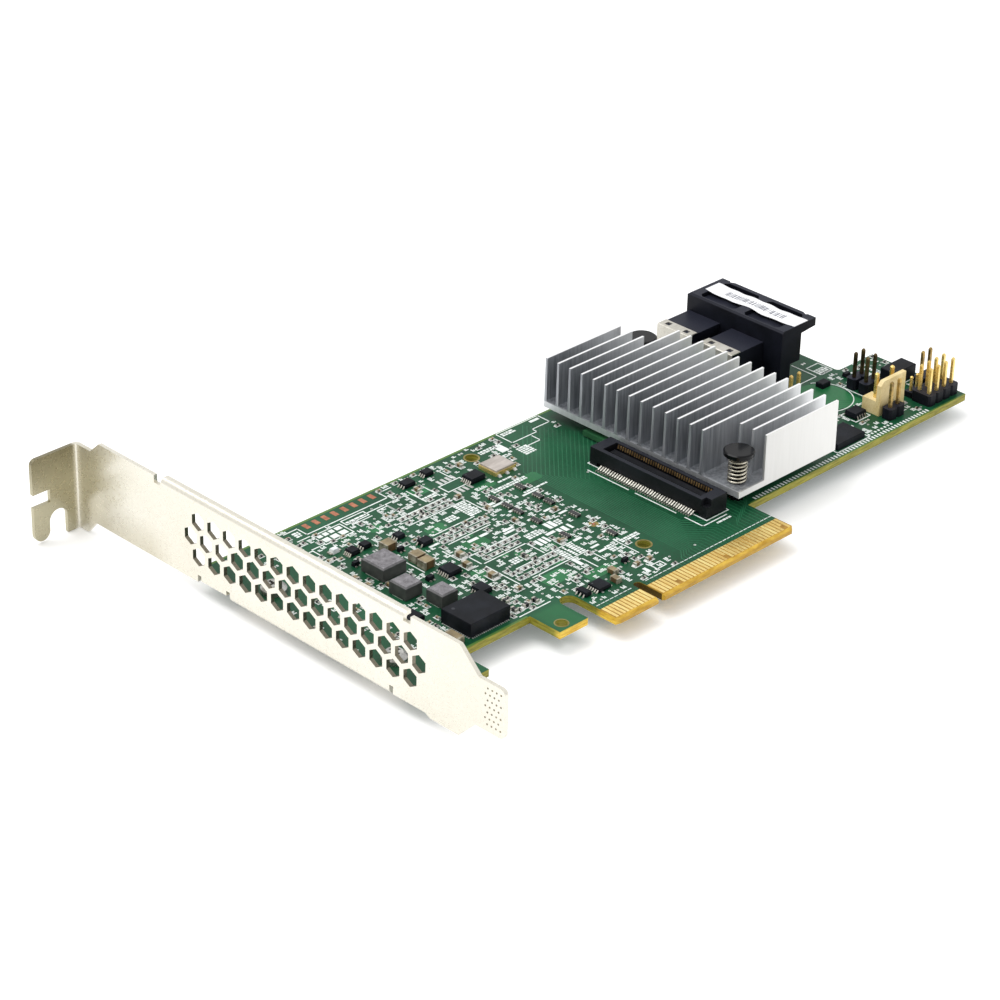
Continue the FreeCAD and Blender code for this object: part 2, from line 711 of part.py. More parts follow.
def mouth_y0(port):
    """Lower side of a plug mouth."""
    return HOOD_Y0 + MOUTH_WALL + port * PORT_PITCH


def sas_housing():
    """Black moulding: front hood with two plug mouths, two rear port bodies."""
    profile = [
        (HOOD_X0, 0),
        (HOOD_FOOT, 0),
        (HOOD_FOOT, HOOD_MOUTH_LOW),
        (HOOD_MOUTH, HOOD_MOUTH_LOW),
        (HOOD_MOUTH, HOOD_VISOR_LOW),
        (HOOD_VISOR, HOOD_VISOR_LOW + HOOD_EDGE),
        (HOOD_VISOR, HOOD_TOP - HOOD_EDGE),
        (HOOD_VISOR - HOOD_EDGE, HOOD_TOP),
        (HOOD_X0 + HOOD_EDGE, HOOD_TOP),
        (HOOD_X0, HOOD_TOP - HOOD_EDGE),
    ]
    hood = slab_y(profile, HOOD_Y0, HOOD_Y1)
    wing = block(
        HOOD_X0, HOOD_Y1 - 1, MOUTH_FLOOR,
        HOOD_X0 + HOOD_WING_LENGTH, HOOD_Y1 + HOOD_WING, HOOD_TOP - HOOD_EDGE,
    )
    ports = [
        block(PORT_X0, port_y0(port), 0, HOOD_X0 + 1, port_y0(port) + PORT_WIDTH, HOOD_SHELF)
        for port in (0, 1)
    ]
    cuts = [hood_end_cut(HOOD_Y0, 1), hood_end_cut(HOOD_Y1, -1)]
    for port in (0, 1):
        y0 = mouth_y0(port)
        roof = MOUTH_FLOOR + MOUTH_HEIGHT
        cuts.append(block(MOUTH_BACK, y0, MOUTH_FLOOR, HOOD_VISOR + 1, y0 + MOUTH_WIDTH, roof))
        cuts.append(hood_pocket(POCKET_Y0 + port * PORT_PITCH))
    return hood.fuse(ports + [wing]).removeSplitter().cut(cuts)


def hood_end_cut(y, inward):
    """Step at one end of the visor, where the top plate narrows."""
    path = [
        (HOOD_VISOR + 1, y - inward),
        (HOOD_VISOR - 0.5, y - inward),
        (HOOD_VISOR - 0.5, y + 2.2 * inward),
        (HOOD_VISOR - 0.9, y + 2.6 * inward),
        (HOOD_VISOR, y + 4.4 * inward),
        (HOOD_VISOR + 1, y + 4.4 * inward),
    ]
    return slab_z(path, HOOD_VISOR_LOW - 1, HOOD_TOP + 1)


def hood_pocket(y0):
    """Recess with cut corners in the hood's top, one above each mouth."""
    y1 = y0 + POCKET_WIDTH
    c = POCKET_CORNER
    path = [
        (POCKET_X0 + c, y0),
        (POCKET_X1 - c, y0),
        (POCKET_X1, y0 + c),
        (POCKET_X1, y1 - c),
        (POCKET_X1 - c, y1),
        (POCKET_X0 + c, y1),
        (POCKET_X0, y1 - c),
        (POCKET_X0, y0 + c),
    ]
    return slab_z(path, HOOD_TOP - POCKET_DEPTH, HOOD_TOP + 1)


def sas_shield(port):
    """Bent metal clip on the rear of a port body: top strip with two windows, and back plate."""
    y0 = port_y0(port)
    y1 = y0 + PORT_WIDTH
    top = HOOD_SHELF + SHIELD
    back = PORT_X0 - SHIELD
    path = [
        (back, SHIELD),
        (PORT_X0, SHIELD),
        (PORT_X0, HOOD_SHELF),
        (PORT_X0 + SHIELD_STRIP, HOOD_SHELF),
        (PORT_X0 + SHIELD_STRIP, top),
        (back + SHIELD, top),
        arc_step(back + SHIELD, top - SHIELD, SHIELD, 90, 180),
    ]
    clip = slab_y(path, y0, y1)
    half = SHIELD_WINDOW / 2
    x = PORT_X0 + SHIELD_STRIP / 2
    windows = [
        block(x - half, y - half, HOOD_SHELF - 1, x + half, y + half, top + 1)
        for y in (y0 + SHIELD_WINDOW_INSET, y1 - SHIELD_WINDOW_INSET)
    ]
    return clip.cut(windows)


def contact_block(port):
    """Insert at the back of a mouth, with the two slots that take the plug's cards."""
    y = mouth_y0(port) + MOUTH_WIDTH / 2
    z = MOUTH_FLOOR + MOUTH_HEIGHT / 2
    front = MOUTH_BACK + CONTACT_BLOCK_DEPTH
    half = CONTACT_BLOCK_WIDTH / 2
    body = block(MOUTH_BACK, y - half, MOUTH_FLOOR, front, y + half, z + CONTACT_BLOCK_HEIGHT / 2)
    inset = half - CONTACT_BLOCK_WALL
    gap = CARD_SLOT / 2
    slots = [
        block(MOUTH_BACK + CONTACT_BLOCK_BACK, y - inset, level - gap, front + 1, y + inset, level + gap)
        for level in card_levels()
    ]
    return body.cut(slots)


def card_levels():
    """Heights of the two card slots in a contact block."""
    middle = MOUTH_FLOOR + MOUTH_HEIGHT / 2
    return (middle - CONTACT_BLOCK_HEIGHT / 4, middle + CONTACT_BLOCK_HEIGHT / 4)


def sas_contacts():
    """Spring contacts on the floor of each card slot."""
    blades = []
    back = MOUTH_BACK + CONTACT_BLOCK_BACK
    for port in (0, 1):
        middle = mouth_y0(port) + MOUTH_WIDTH / 2
        for level in card_levels():
            floor = level - CARD_SLOT / 2
            for index in range(SAS_CONTACTS_PER_ROW):
                y = middle + (index - (SAS_CONTACTS_PER_ROW - 1) / 2) * SAS_CONTACT_PITCH
                half = SAS_BLADE / 2
                blades.append(block(back, y - half, floor, back + SAS_BLADE_LENGTH, y + half, floor + 0.2))
    return blades


# ---------------------------------------------------------------- mezzanine connector
def mezz_contact_ys():
    """Y of each contact in a row."""
    middle = (MEZZ_Y0 + MEZZ_Y1) / 2
    return [middle + (index - (MEZZ_COUNT - 1) / 2) * MEZZ_PITCH for index in range(MEZZ_COUNT)]


def mezzanine_housing():
    """Long socket with a slot, a centre tongue and raised ends."""
    body = block(MEZZ_X0, MEZZ_Y0, 0, MEZZ_X1, MEZZ_Y1, MEZZ_TOP)
    slot = block(
        MEZZ_X0 + MEZZ_WALL, MEZZ_Y0 + MEZZ_END_WALL, MEZZ_FLOOR,
        MEZZ_X1 - MEZZ_WALL, MEZZ_Y1 - MEZZ_END_WALL, MEZZ_TOP + 1,
    )
    middle = (MEZZ_X0 + MEZZ_X1) / 2
    tongue = block(
        middle - MEZZ_TONGUE / 2, MEZZ_Y0 + MEZZ_END_WALL + 0.8, MEZZ_FLOOR - 0.5,
        middle + MEZZ_TONGUE / 2, MEZZ_Y1 - MEZZ_END_WALL - 0.8, MEZZ_TONGUE_TOP,
    )
    skirt = MEZZ_SHOULDER + MEZZ_CONTACT_THICKNESS
    undercuts = [
        block(MEZZ_X0 - 1, MEZZ_Y0 + 2, -1, MEZZ_X0 + MEZZ_POCKET, MEZZ_Y1 - 2, skirt),
        block(MEZZ_X1 - MEZZ_POCKET, MEZZ_Y0 + 2, -1, MEZZ_X1 + 1, MEZZ_Y1 - 2, skirt),
    ]
    key = block(MEZZ_X0 - 1, MEZZ_Y0 - 1, 2.6, MEZZ_X0 + 1.4, MEZZ_Y0 + 1.4, MEZZ_TOP + 1)
    return body.cut(slot).fuse(tongue).cut(undercuts + [key])


def mezzanine_contacts():
    """Solder tails under the walls and contact faces on the tongue, both rows."""
    middle = (MEZZ_X0 + MEZZ_X1) / 2
    half = MEZZ_CONTACT_WIDTH / 2
    metal = MEZZ_CONTACT_THICKNESS
    pieces = []
    for y in mezz_contact_ys():
        for wall, out in ((MEZZ_X0, -1), (MEZZ_X1, 1)):
            path = [
                (wall - out * MEZZ_POCKET, MEZZ_SHOULDER),
                (wall + out * (MEZZ_TAIL - MEZZ_TAIL_FOOT), 0),
                (wall + out * MEZZ_TAIL, 0),
                (wall + out * MEZZ_TAIL, metal),
                (wall + out * (MEZZ_TAIL - MEZZ_TAIL_FOOT + metal), metal),
                (wall - out * MEZZ_POCKET, MEZZ_SHOULDER + metal),
            ]
            pieces.append(slab_y(path, y - half, y + half))
        for side in (-1, 1):
            x = middle + side * (MEZZ_TONGUE + metal) / 2
            top = MEZZ_TONGUE_TOP - 0.2
            pieces.append(block(x - metal / 2, y - half, MEZZ_FLOOR, x + metal / 2, y + half, top))
    return pieces


# ---------------------------------------------------------------- headers
def header_base(first, columns, rows):
    """Moulded strip with V-grooves between the cells and a square hole for each pin."""
    half = HEADER_PITCH / 2
    c = HEADER_CELL_CHAMFER
    y0 = first[1] - half
    y1 = first[1] + (rows - 1) * HEADER_PITCH + half
    front = []
    back = []
    for column in range(columns):
        x = first[0] + column * HEADER_PITCH
        front += [(x - half, y0 + c), (x - half + c, y0), (x + half - c, y0)]
        back += [(x - half, y1 - c), (x - half + c, y1), (x + half - c, y1)]
    end_x = first[0] + (columns - 1) * HEADER_PITCH + half
    front.append((end_x, y0 + c))
    back.append((end_x, y1 - c))
    body = slab_z(front + back[::-1], 0, HEADER_HEIGHT)
    reach = HEADER_PIN / 2 + SLIP
    holes = [
        block(x - reach, y - reach, -1, x + reach, y + reach, HEADER_HEIGHT + 1)
        for x, y in header_pin_places(first, columns, rows)
    ]
    return body.cut(holes)


def square_pin(x, y, z0, z1):
    """Square post with pointed ends."""
    half = HEADER_PIN / 2
    point = half * 0.5
    return stepped_block(
        x - half, y - half, x + half, y + half,
        [(z0, half - point), (z0 + PIN_POINT, 0), (z1 - PIN_POINT, 0), (z1, half - point)],
    )


def header_pins(first, columns, rows):
    """Posts of one header, through base and board."""
    return [
        square_pin(x, y, -BOARD_THICKNESS - HEADER_TAIL, HEADER_PIN_TOP)
        for x, y in header_pin_places(first, columns, rows)
    ]


def round_pin(x, y, radius, top):
    """Turned post with a rounded tip."""
    low = -BOARD_THICKNESS - HEADER_TAIL
    profile = [
        (0, low),
        (radius, low),
        (radius, top - radius * 0.6),
        (radius * 0.4, top),
        (0, top),
    ]
    return turned(x, y, profile)


def locking_header_base():
    """Ivory shell: a low base and one tall friction wall with a cut corner."""
    profile = [
        (LOCKING_X0, 0),
        (LOCKING_X1, 0),
        (LOCKING_X1, LOCKING_WALL_TOP),
        (LOCKING_X0 + LOCKING_WALL_CORNER, LOCKING_WALL_TOP),
        (LOCKING_X0, LOCKING_WALL_TOP - LOCKING_WALL_CORNER),
    ]
    wall = slab_y(profile, LOCKING_Y0, LOCKING_Y0 + LOCKING_WALL)
    base = block(LOCKING_X0, LOCKING_Y0, 0, LOCKING_X1, LOCKING_Y1, LOCKING_BASE)
    margin = LOCKING_NOTCH_MARGIN
    notch = block(
        LOCKING_X0 + margin, LOCKING_Y1 - LOCKING_NOTCH_DEPTH, LOCKING_BASE - LOCKING_NOTCH_DROP,
        LOCKING_X1 - margin, LOCKING_Y1 + 1, LOCKING_BASE + 1,
    )
    holes = [rod(x, y, -1, LOCKING_BASE + 1, LOCKING_PIN_R + SLIP) for x, y in LOCKING_PINS]
    return base.fuse(wall).removeSplitter().cut([notch] + holes)


def small_header_base():
    """Low strip for the two short round pins."""
    x0 = SMALL_HEADER_PINS[0][0] - SMALL_HEADER_HALF
    x1 = SMALL_HEADER_PINS[-1][0] + SMALL_HEADER_HALF
    y = SMALL_HEADER_PINS[0][1]
    strip = block(x0, y - SMALL_HEADER_HALF, 0, x1, y + SMALL_HEADER_HALF, SMALL_HEADER_BASE)
    top = SMALL_HEADER_BASE + 1
    return strip.cut([rod(px, py, -1, top, SMALL_PIN_R + SLIP) for px, py in SMALL_HEADER_PINS])


# ---------------------------------------------------------------- power parts and chips
# Inductors: x0, y0, x1, y1
INDUCTORS = (
    ("inductor_large", (-35.5, 40.0, -29.4, 46.2)),
    ("inductor_middle", (-37.2, 32.0, -32.8, 36.6)),
    ("inductor_small", (-34.1, 25.3, -29.9, 29.6)),
)
INDUCTOR_TOP = 3.0
TERMINAL = 0.15
MODULE_X0 = -37.4
MODULE_X1 = -27.0
MODULE_Y0 = 14.2
MODULE_Y1 = 22.2
MODULE_TOP = 3.05

# Chips with leads: name (alike ones share it), centre, body along X, body along Y, height,
# leads per side, lead pitch, axis along which the leads reach out
LEADED_CHIPS = (
    ("buffer_chip", (6.0, BOARD_BACK - 11.05), 3.9, 3.0, 1.3, 5, 0.55, "x"),
    ("sensor_chip", (0.4, BOARD_BACK - 3.05), 2.2, 2.0, 1.0, 3, 0.6, "x"),
    ("supervisor_chip", (-5.6, BOARD_BACK - 3.6), 2.8, 2.2, 1.0, 3, 0.7, "x"),
    ("rail_chips", (-21.4, 50.6), 2.0, 1.8, 1.05, 3, 0.65, "x"),
    ("driver_chip", (-19.2, 45.4), 2.6, 2.1, 1.1, 2, 1.3, "x"),
    ("regulator_chip", (-32.15, 52.3), 2.2, 2.2, 1.1, 4, 0.5, "x"),
    ("rail_chips", (-28.75, 52.4), 2.0, 1.8, 1.05, 3, 0.65, "x"),
    ("switch_chip", (-23.35, 34.15), 3.3, 3.3, 1.2, 5, 0.6, "x"),
    ("gate_chip", (-23.85, 24.95), 2.8, 3.1, 1.2, 4, 0.65, "x"),
    ("input_chip", (-41.1, 26.9), 4.0, 4.4, 1.2, 4, 1.0, "x"),
    ("logic_chip", (-10.3, 10.95), 1.6, 2.8, 1.0, 3, 0.9, "x"),
    ("clock_chip", (-6.3, 10.6), 3.3, 3.2, 0.9, 5, 0.6, "x"),
    ("flash_chip", (BOARD_RIGHT - 25.3, 22.2), 3.6, 3.0, 1.4, 4, 0.8, "y"),
)
LEAD_THICKNESS = 0.15
LEAD_WIDTH = 0.28
LEAD_REACH = 0.6
LEAD_FOOT = 0.2                # where the lead meets the board, from the body
CHIP_STANDOFF = 0.08

# Chips that sit flat: name, x0, y0, x1, y1, height
FLAT_CHIPS = (
    ("monitor_chip", (70.2, 14.6, 79.0, 20.6, 1.4)),
    ("alarm_sounder", (BOARD_RIGHT - 8.4, 25.1, BOARD_RIGHT - 1.3, 29.2, 3.0)),
    ("rear_regulator", (BOARD_RIGHT - 21.2, 34.6, BOARD_RIGHT - 18.6, 36.6, 1.2)),
)

OSCILLATOR = (10.1, BOARD_BACK - 13.4, 15.9, BOARD_BACK - 8.3)
OSCILLATOR_BASE_TOP = 0.8
OSCILLATOR_TOP = 1.3
OSCILLATOR_RIM = 0.2

# Ceramic capacitors: centre, length between the metal ends, width, height, axis of the length
CAPACITORS = (
    ((-26.0, 48.8), 2.7, 2.3, 1.7, "x"),
    ((-24.8, 41.8), 2.7, 2.3, 1.7, "x"),
    ((-25.1, 38.95), 2.7, 2.3, 1.7, "x"),
    ((-40.0, 15.9), 3.6, 1.6, 1.4, "y"),
    ((-2.3, 10.0), 2.0, 1.3, 1.0, "y"),
    ((-0.4, 12.6), 2.0, 1.3, 1.0, "y"),
)
CAP_END = 0.35
CAP_PLATING = 0.03

# Memory chips of the cache on the solder side: centre of each
CACHE_CHIPS = ((6.0, 50.0), (17.0, 50.0), (28.0, 50.0), (17.0, 33.0), (28.0, 33.0))
CACHE_CHIP_X = 9.0
CACHE_CHIP_Y = 13.3
CACHE_CHIP_HEIGHT = 1.1


def inductor_body(x0, y0, x1, y1):
    """Pressed-powder block with softened top edges."""
    return stepped_block(x0, y0, x1, y1, [(TERMINAL, 0), (INDUCTOR_TOP - 0.3, 0), (INDUCTOR_TOP, 0.3)])


def inductor_terminals():
    """Flat terminals under both ends of each inductor."""
    plates = []
    for _, (x0, y0, x1, y1) in INDUCTORS:
        width = (x1 - x0) * 0.28
        margin = (y1 - y0) * 0.2
        plates.append(block(x0, y0 + margin, 0, x0 + width, y1 - margin, TERMINAL))
        plates.append(block(x1 - width, y0 + margin, 0, x1, y1 - margin, TERMINAL))
    return plates


def chip_body(centre, size_x, size_y, height):
    """Moulded body with a parting line half way up."""
    x0 = centre[0] - size_x / 2
    y0 = centre[1] - size_y / 2
    middle = (CHIP_STANDOFF + height) / 2
    levels = [(CHIP_STANDOFF, 0.1), (middle, 0), (height, 0.12)]
    return stepped_block(x0, y0, x0 + size_x, y0 + size_y, levels)


def chip_leads(centre, size_x, size_y, height, count, pitch, axis):
    """Gull-wing leads on two sides; axis is the direction in which they reach out."""
    middle = (CHIP_STANDOFF + height) / 2
    t = LEAD_THICKNESS
    path = [
        (0, middle - t / 2), (LEAD_FOOT, 0), (LEAD_REACH, 0),
        (LEAD_REACH, t), (LEAD_FOOT + t, t), (0, middle + t / 2),
    ]
    half = (size_x if axis == "x" else size_y) / 2
    leads = []
    for index in range(count):
        along = (index - (count - 1) / 2) * pitch
        lead = slab_y(path, along - LEAD_WIDTH / 2, along + LEAD_WIDTH / 2).translate(Vector(half, 0, 0))
        for turn in (0, 180):
            copy = lead.copy()
            copy.rotate(Vector(0, 0, 0), Vector(0, 0, 1), turn + (90 if axis == "y" else 0))
            leads.append(copy.translate(Vector(centre[0], centre[1], 0)))
    return leads


def across(centre, length, width, axis, start, end):
    """Corners x0, y0, x1, y1 of a bar's stretch from start to end, measured along its length."""
    x, y = centre
    low = start - length / 2
    high = end - length / 2
    half = width / 2
    if axis == "x":
        return (x + low, y - half, x + high, y + half)
    return (x - half, y + low, x + half, y + high)


def capacitor_bodies():
    """Ceramic blocks between their metal ends."""
    bodies = []
    for centre, length, width, height, axis in CAPACITORS:
        x0, y0, x1, y1 = across(centre, length, width, axis, CAP_END, length - CAP_END)
        bodies.append(block(x0, y0, CAP_PLATING, x1, y1, height))
    return bodies


def capacitor_ends():
    """Metal ends of the ceramic capacitors."""
    ends = []
    for centre, length, width, height, axis in CAPACITORS:
        wide = width + 2 * CAP_PLATING
        for start, end in ((0, CAP_END), (length - CAP_END, length)):
            x0, y0, x1, y1 = across(centre, length, wide, axis, start, end)
            ends.append(block(x0, y0, 0, x1, y1, height + CAP_PLATING))
    return ends


def cache_chips():
    """Memory chips on the solder side."""
    low = -BOARD_THICKNESS
    return [
        block(
            x - CACHE_CHIP_X / 2, y - CACHE_CHIP_Y / 2, low - CACHE_CHIP_HEIGHT,
            x + CACHE_CHIP_X / 2, y + CACHE_CHIP_Y / 2, low,
        )
        for x, y in CACHE_CHIPS
    ]


# ---------------------------------------------------------------- build
def main():
    os.makedirs("parts", exist_ok=True)
    save("board", [board()])
    save("edge_contacts", edge_contacts())
    save("slot_bracket", [bracket()])
    save("bracket_screws", [bracket_screw(y) for y in EAR_TAB_CENTRES])

    save("heatsink", [heatsink()])
    save("push_pins", [push_pin(x, y) for x, y in PUSH_PINS])
    save("push_pin_springs", [pin_spring(x, y) for x, y in PUSH_PINS])
    lid_top = SINK_UNDERSIDE - THERMAL_PAD
    stack = (
        ("thermal_pad", THERMAL_PAD_SIZE, lid_top, SINK_UNDERSIDE),
        ("processor_lid", LID_SIZE, SUBSTRATE_TOP, lid_top),
        ("processor_substrate", PACKAGE_SIZE, SOLDER_HEIGHT, SUBSTRATE_TOP),
        ("processor_solder", PACKAGE_SIZE - 2, 0, SOLDER_HEIGHT),
    )
    for name, size, z0, z1 in stack:
        save(name, [square_about(PACKAGE_X, PACKAGE_Y, size, z0, z1)])

    save("sas_housing", [sas_housing()])
    save("sas_shields", [sas_shield(port) for port in (0, 1)])
    save("sas_contact_blocks", [contact_block(port) for port in (0, 1)])
    save("sas_contacts", sas_contacts())
    label_top = HOOD_TOP + LABEL_THICKNESS
    save("sas_label", [block(LABEL_X0, HOOD_Y0, HOOD_TOP, LABEL_X1, HOOD_Y1 - LABEL_INSET, label_top)])

    save("mezzanine_housing", [mezzanine_housing()])
    save("mezzanine_contacts", mezzanine_contacts())

    for name, first, columns, rows in HEADERS:
        save(name + "_base", [header_base(first, columns, rows)])
        save(name + "_pins", header_pins(first, columns, rows))
    save("locking_header_base", [locking_header_base()])
    save("locking_header_pins", [round_pin(x, y, LOCKING_PIN_R, LOCKING_PIN_TOP) for x, y in LOCKING_PINS])
    save("small_header_base", [small_header_base()])
    save("small_header_pins", [round_pin(x, y, SMALL_PIN_R, SMALL_PIN_TOP) for x, y in SMALL_HEADER_PINS])

    for name, corners in INDUCTORS:
        save(name, [inductor_body(*corners)])
    save("inductor_terminals", inductor_terminals())
    module_levels = [(0, 0), (MODULE_TOP - 0.1, 0), (MODULE_TOP, 0.1)]
    save("power_module", [stepped_block(MODULE_X0, MODULE_Y0, MODULE_X1, MODULE_Y1, module_levels)])

    bodies = {}
    leads = []
    for name, centre, size_x, size_y, height, count, pitch, axis in LEADED_CHIPS:
        bodies.setdefault(name, []).append(chip_body(centre, size_x, size_y, height))
        leads += chip_leads(centre, size_x, size_y, height, count, pitch, axis)
    for name, group in bodies.items():
        save(name, group)
    save("chip_leads", leads)
    for name, (x0, y0, x1, y1, height) in FLAT_CHIPS:
        save(name, [stepped_block(x0, y0, x1, y1, [(0, 0), (height - 0.15, 0), (height, 0.15)])])

    x0, y0, x1, y1 = OSCILLATOR
    save("oscillator_base", [block(x0, y0, 0, x1, y1, OSCILLATOR_BASE_TOP)])
    rim = OSCILLATOR_RIM
    lid_levels = [(OSCILLATOR_BASE_TOP, rim), (OSCILLATOR_TOP - 0.1, rim), (OSCILLATOR_TOP, rim + 0.1)]
    save("oscillator_lid", [stepped_block(x0, y0, x1, y1, lid_levels)])
    save("capacitor_bodies", capacitor_bodies())
    save("capacitor_ends", capacitor_ends())
    save("cache_chips", cache_chips())


main()
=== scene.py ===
# %% [markdown]
# # A RAID controller card, finished in Blender
# The card is a green circuit board on a nickel-plated slot bracket, with a finned heatsink, a
# two-port drive connector, a long module socket and hundreds of tiny parts.  The solid shapes
# come from the CAD frame and stay where they are.  This script gives them their finishes and
# adds what is too small or too thin for the solids: printed ink, solder pads, copper traces,
# chip resistors and capacitors, round spring wire and a paper label.

# %% Load the frame
import bpy
import json
import math
import numpy as np
from mathutils import Matrix, Vector


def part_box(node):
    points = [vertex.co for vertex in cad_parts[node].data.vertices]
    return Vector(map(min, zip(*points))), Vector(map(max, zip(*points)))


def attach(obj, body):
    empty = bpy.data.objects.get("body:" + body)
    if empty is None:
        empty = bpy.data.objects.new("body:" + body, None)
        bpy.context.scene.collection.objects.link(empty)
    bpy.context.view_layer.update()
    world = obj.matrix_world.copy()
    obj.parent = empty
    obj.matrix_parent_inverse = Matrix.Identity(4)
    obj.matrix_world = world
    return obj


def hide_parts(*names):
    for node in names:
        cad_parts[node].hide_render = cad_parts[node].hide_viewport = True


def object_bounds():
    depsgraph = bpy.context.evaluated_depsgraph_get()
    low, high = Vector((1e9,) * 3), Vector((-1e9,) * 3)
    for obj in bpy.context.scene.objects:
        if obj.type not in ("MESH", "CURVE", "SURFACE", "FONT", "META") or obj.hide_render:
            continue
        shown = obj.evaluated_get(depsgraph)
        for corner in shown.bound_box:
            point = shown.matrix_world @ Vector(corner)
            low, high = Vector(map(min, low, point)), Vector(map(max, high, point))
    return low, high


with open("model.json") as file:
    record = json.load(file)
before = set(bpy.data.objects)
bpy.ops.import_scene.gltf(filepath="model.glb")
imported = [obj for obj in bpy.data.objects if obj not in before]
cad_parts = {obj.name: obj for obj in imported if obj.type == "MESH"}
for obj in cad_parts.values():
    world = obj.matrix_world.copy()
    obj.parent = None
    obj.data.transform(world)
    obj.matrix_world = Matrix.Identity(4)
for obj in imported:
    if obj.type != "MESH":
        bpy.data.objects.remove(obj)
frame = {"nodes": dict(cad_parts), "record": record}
cad_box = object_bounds()
scene = bpy.context.scene
MM = 0.001


def node_box(name):
    """Lowest and highest corner of a CAD node, in millimetres."""
    low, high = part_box(name)
    return np.array(low) / MM, np.array(high) / MM


board_low, board_high = node_box("board")
BOARD_UNDER = board_low[2]
print("board", board_low.round(2), board_high.round(2))

# %% [markdown]
# ## The camera
# A product shot is taken from a little above the table with a long lens, which keeps parallel
# edges nearly parallel.  The camera is placed by its three directions: right, up and back.
# They are the columns of its rotation matrix, so no angles have to be guessed.

# %% Place the camera
camera_data = bpy.data.cameras.new("camera")
camera = bpy.data.objects.new("camera", camera_data)
scene.collection.objects.link(camera)
scene.camera = camera
camera_data.sensor_width = 36.0
camera_data.lens = 113.76
camera_data.shift_x = -0.0021
camera_data.shift_y = -0.0007
camera_data.clip_start = 0.01
camera_place = Vector((-393.15, -337.88, 311.17)) * MM
camera_right = Vector((0.7048529, -0.7090011, 0.0223570))
camera_up = Vector((0.3337256, 0.3592551, 0.8715291))
camera_back = Vector((-0.6259470, -0.6068387, 0.4898338))
turn = Matrix((camera_right, camera_up, camera_back)).transposed()
camera.matrix_world = Matrix.Translation(camera_place) @ turn.to_4x4()
print("camera looks down by", round(math.degrees(math.asin(camera_back.z)), 1), "degrees")

# %% [markdown]
# ## Mesh helpers
# Nearly everything added here is a rectangle or a small block, repeated hundreds of times.
# One object per resistor would be slow, so each kind becomes one mesh, written from numpy
# arrays.  A mesh is a pair: its corners and its faces.  A block has eight corners, and corner
# k takes its x, y and z from the bits of k.  Round things are rings of corners joined by bands.

# %% Turn arrays into pieces
CORNER_BITS = (np.arange(8)[:, None] >> np.arange(3)) & 1
BLOCK_FACES = np.array([
    (4, 5, 7, 6), (0, 1, 5, 4), (1, 3, 7, 5), (3, 2, 6, 7), (2, 0, 4, 6), (0, 2, 3, 1)])


def add_piece(name, mesh_pair, slot, material=None, smooth=False):
    """One mesh object from corners in millimetres, riding on the card.

    It gets its slot's own finish unless another material is given."""
    verts, faces = mesh_pair
    mesh = bpy.data.meshes.new(name)
    mesh.from_pydata((np.asarray(verts, float) * MM).tolist(), [], np.asarray(faces).tolist())
    mesh.materials.append(material or MATERIALS[slot])
    mesh.polygons.foreach_set("use_smooth", np.full(len(mesh.polygons), smooth))
    mesh.update()
    piece = bpy.data.objects.new(name, mesh)
    scene.collection.objects.link(piece)
    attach(piece, "root")
    print(name, len(mesh.polygons), "faces")
    return piece


def tapered(low_rects, high_rects, z0, z1):
    """Blocks that go from one rectangle (x0, y0, x1, y1) to another between two levels."""
    low_rects, high_rects = np.asarray(low_rects, float), np.asarray(high_rects, float)
    verts = np.empty((len(low_rects), 8, 3))
    for corner, (right, back, top) in enumerate(CORNER_BITS):
        rects = high_rects if top else low_rects
        verts[:, corner, 0] = rects[:, 2 * right]
        verts[:, corner, 1] = rects[:, 1 + 2 * back]
        verts[:, corner, 2] = z1 if top else z0
    faces = BLOCK_FACES + 8 * np.arange(len(low_rects))[:, None, None]
    return verts.reshape(-1, 3), faces.reshape(-1, 4)


def plates(rects, z0, z1):
    """Upright blocks: the same rectangle at both levels."""
    return tapered(rects, rects, z0, z1)


def join(meshes):
    """Several meshes as one, each list of faces moved past the corners before it."""
    starts = np.cumsum([0] + [len(verts) for verts, _ in meshes])
    verts = np.concatenate([verts for verts, _ in meshes])
    faces = np.concatenate([faces + start for (_, faces), start in zip(meshes, starts)])
    return verts, faces


def about(x, y, half_x, half_y):
    """Rectangle centred on a point."""
    return x - half_x, y - half_y, x + half_x, y + half_y


def circle(x, y, radius, sides):
    """Points round a circle, at angle 2 pi k / sides."""
    angle = 2 * np.pi * np.arange(sides) / sides
    return np.column_stack([x + radius * np.cos(angle), y + radius * np.sin(angle)])


def at_levels(*rings):
    """Corners of flat outlines, each an (outline, level) pair."""
    return np.vstack([np.column_stack([ring, np.full(len(ring), z)]) for ring, z in rings])


def bands(rings, sides, closed=False):
    """Quads from each ring of corners to the next, and from the last to the first if closed."""
    ring = np.arange(rings if closed else rings - 1)[:, None] * sides
    beyond = (ring + sides) % (rings * sides)
    here = np.arange(sides)
    after = (here + 1) % sides
    return np.stack([ring + here, ring + after, beyond + after, beyond + here], -1).reshape(-1, 4)


def fan(sides):
    """Quads that fill a ring, all from its first corner."""
    return np.array([[0, k, k + 1, k + 2] for k in range(1, sides - 2, 2)])


def ring_mesh(x, y, inner, outer, high, sides):
    """Flat ring lying on the board: two circles at each of two levels, joined by four bands."""
    wide, narrow = circle(x, y, outer, sides), circle(x, y, inner, sides)
    verts = at_levels((wide, 0.0), (wide, high), (narrow, high), (narrow, 0.0))
    return verts, bands(4, sides, closed=True)


def disc_mesh(x, y, level, radius, thick, sides=10):
    """Low coin: a ring at two levels, a band between, and a cap above and below."""
    ring = circle(x, y, radius, sides)
    verts = at_levels((ring, level), (ring, level + thick))
    return verts, np.vstack([bands(2, sides), fan(sides) + sides, fan(sides)[:, ::-1]])


print("mesh helpers ready")

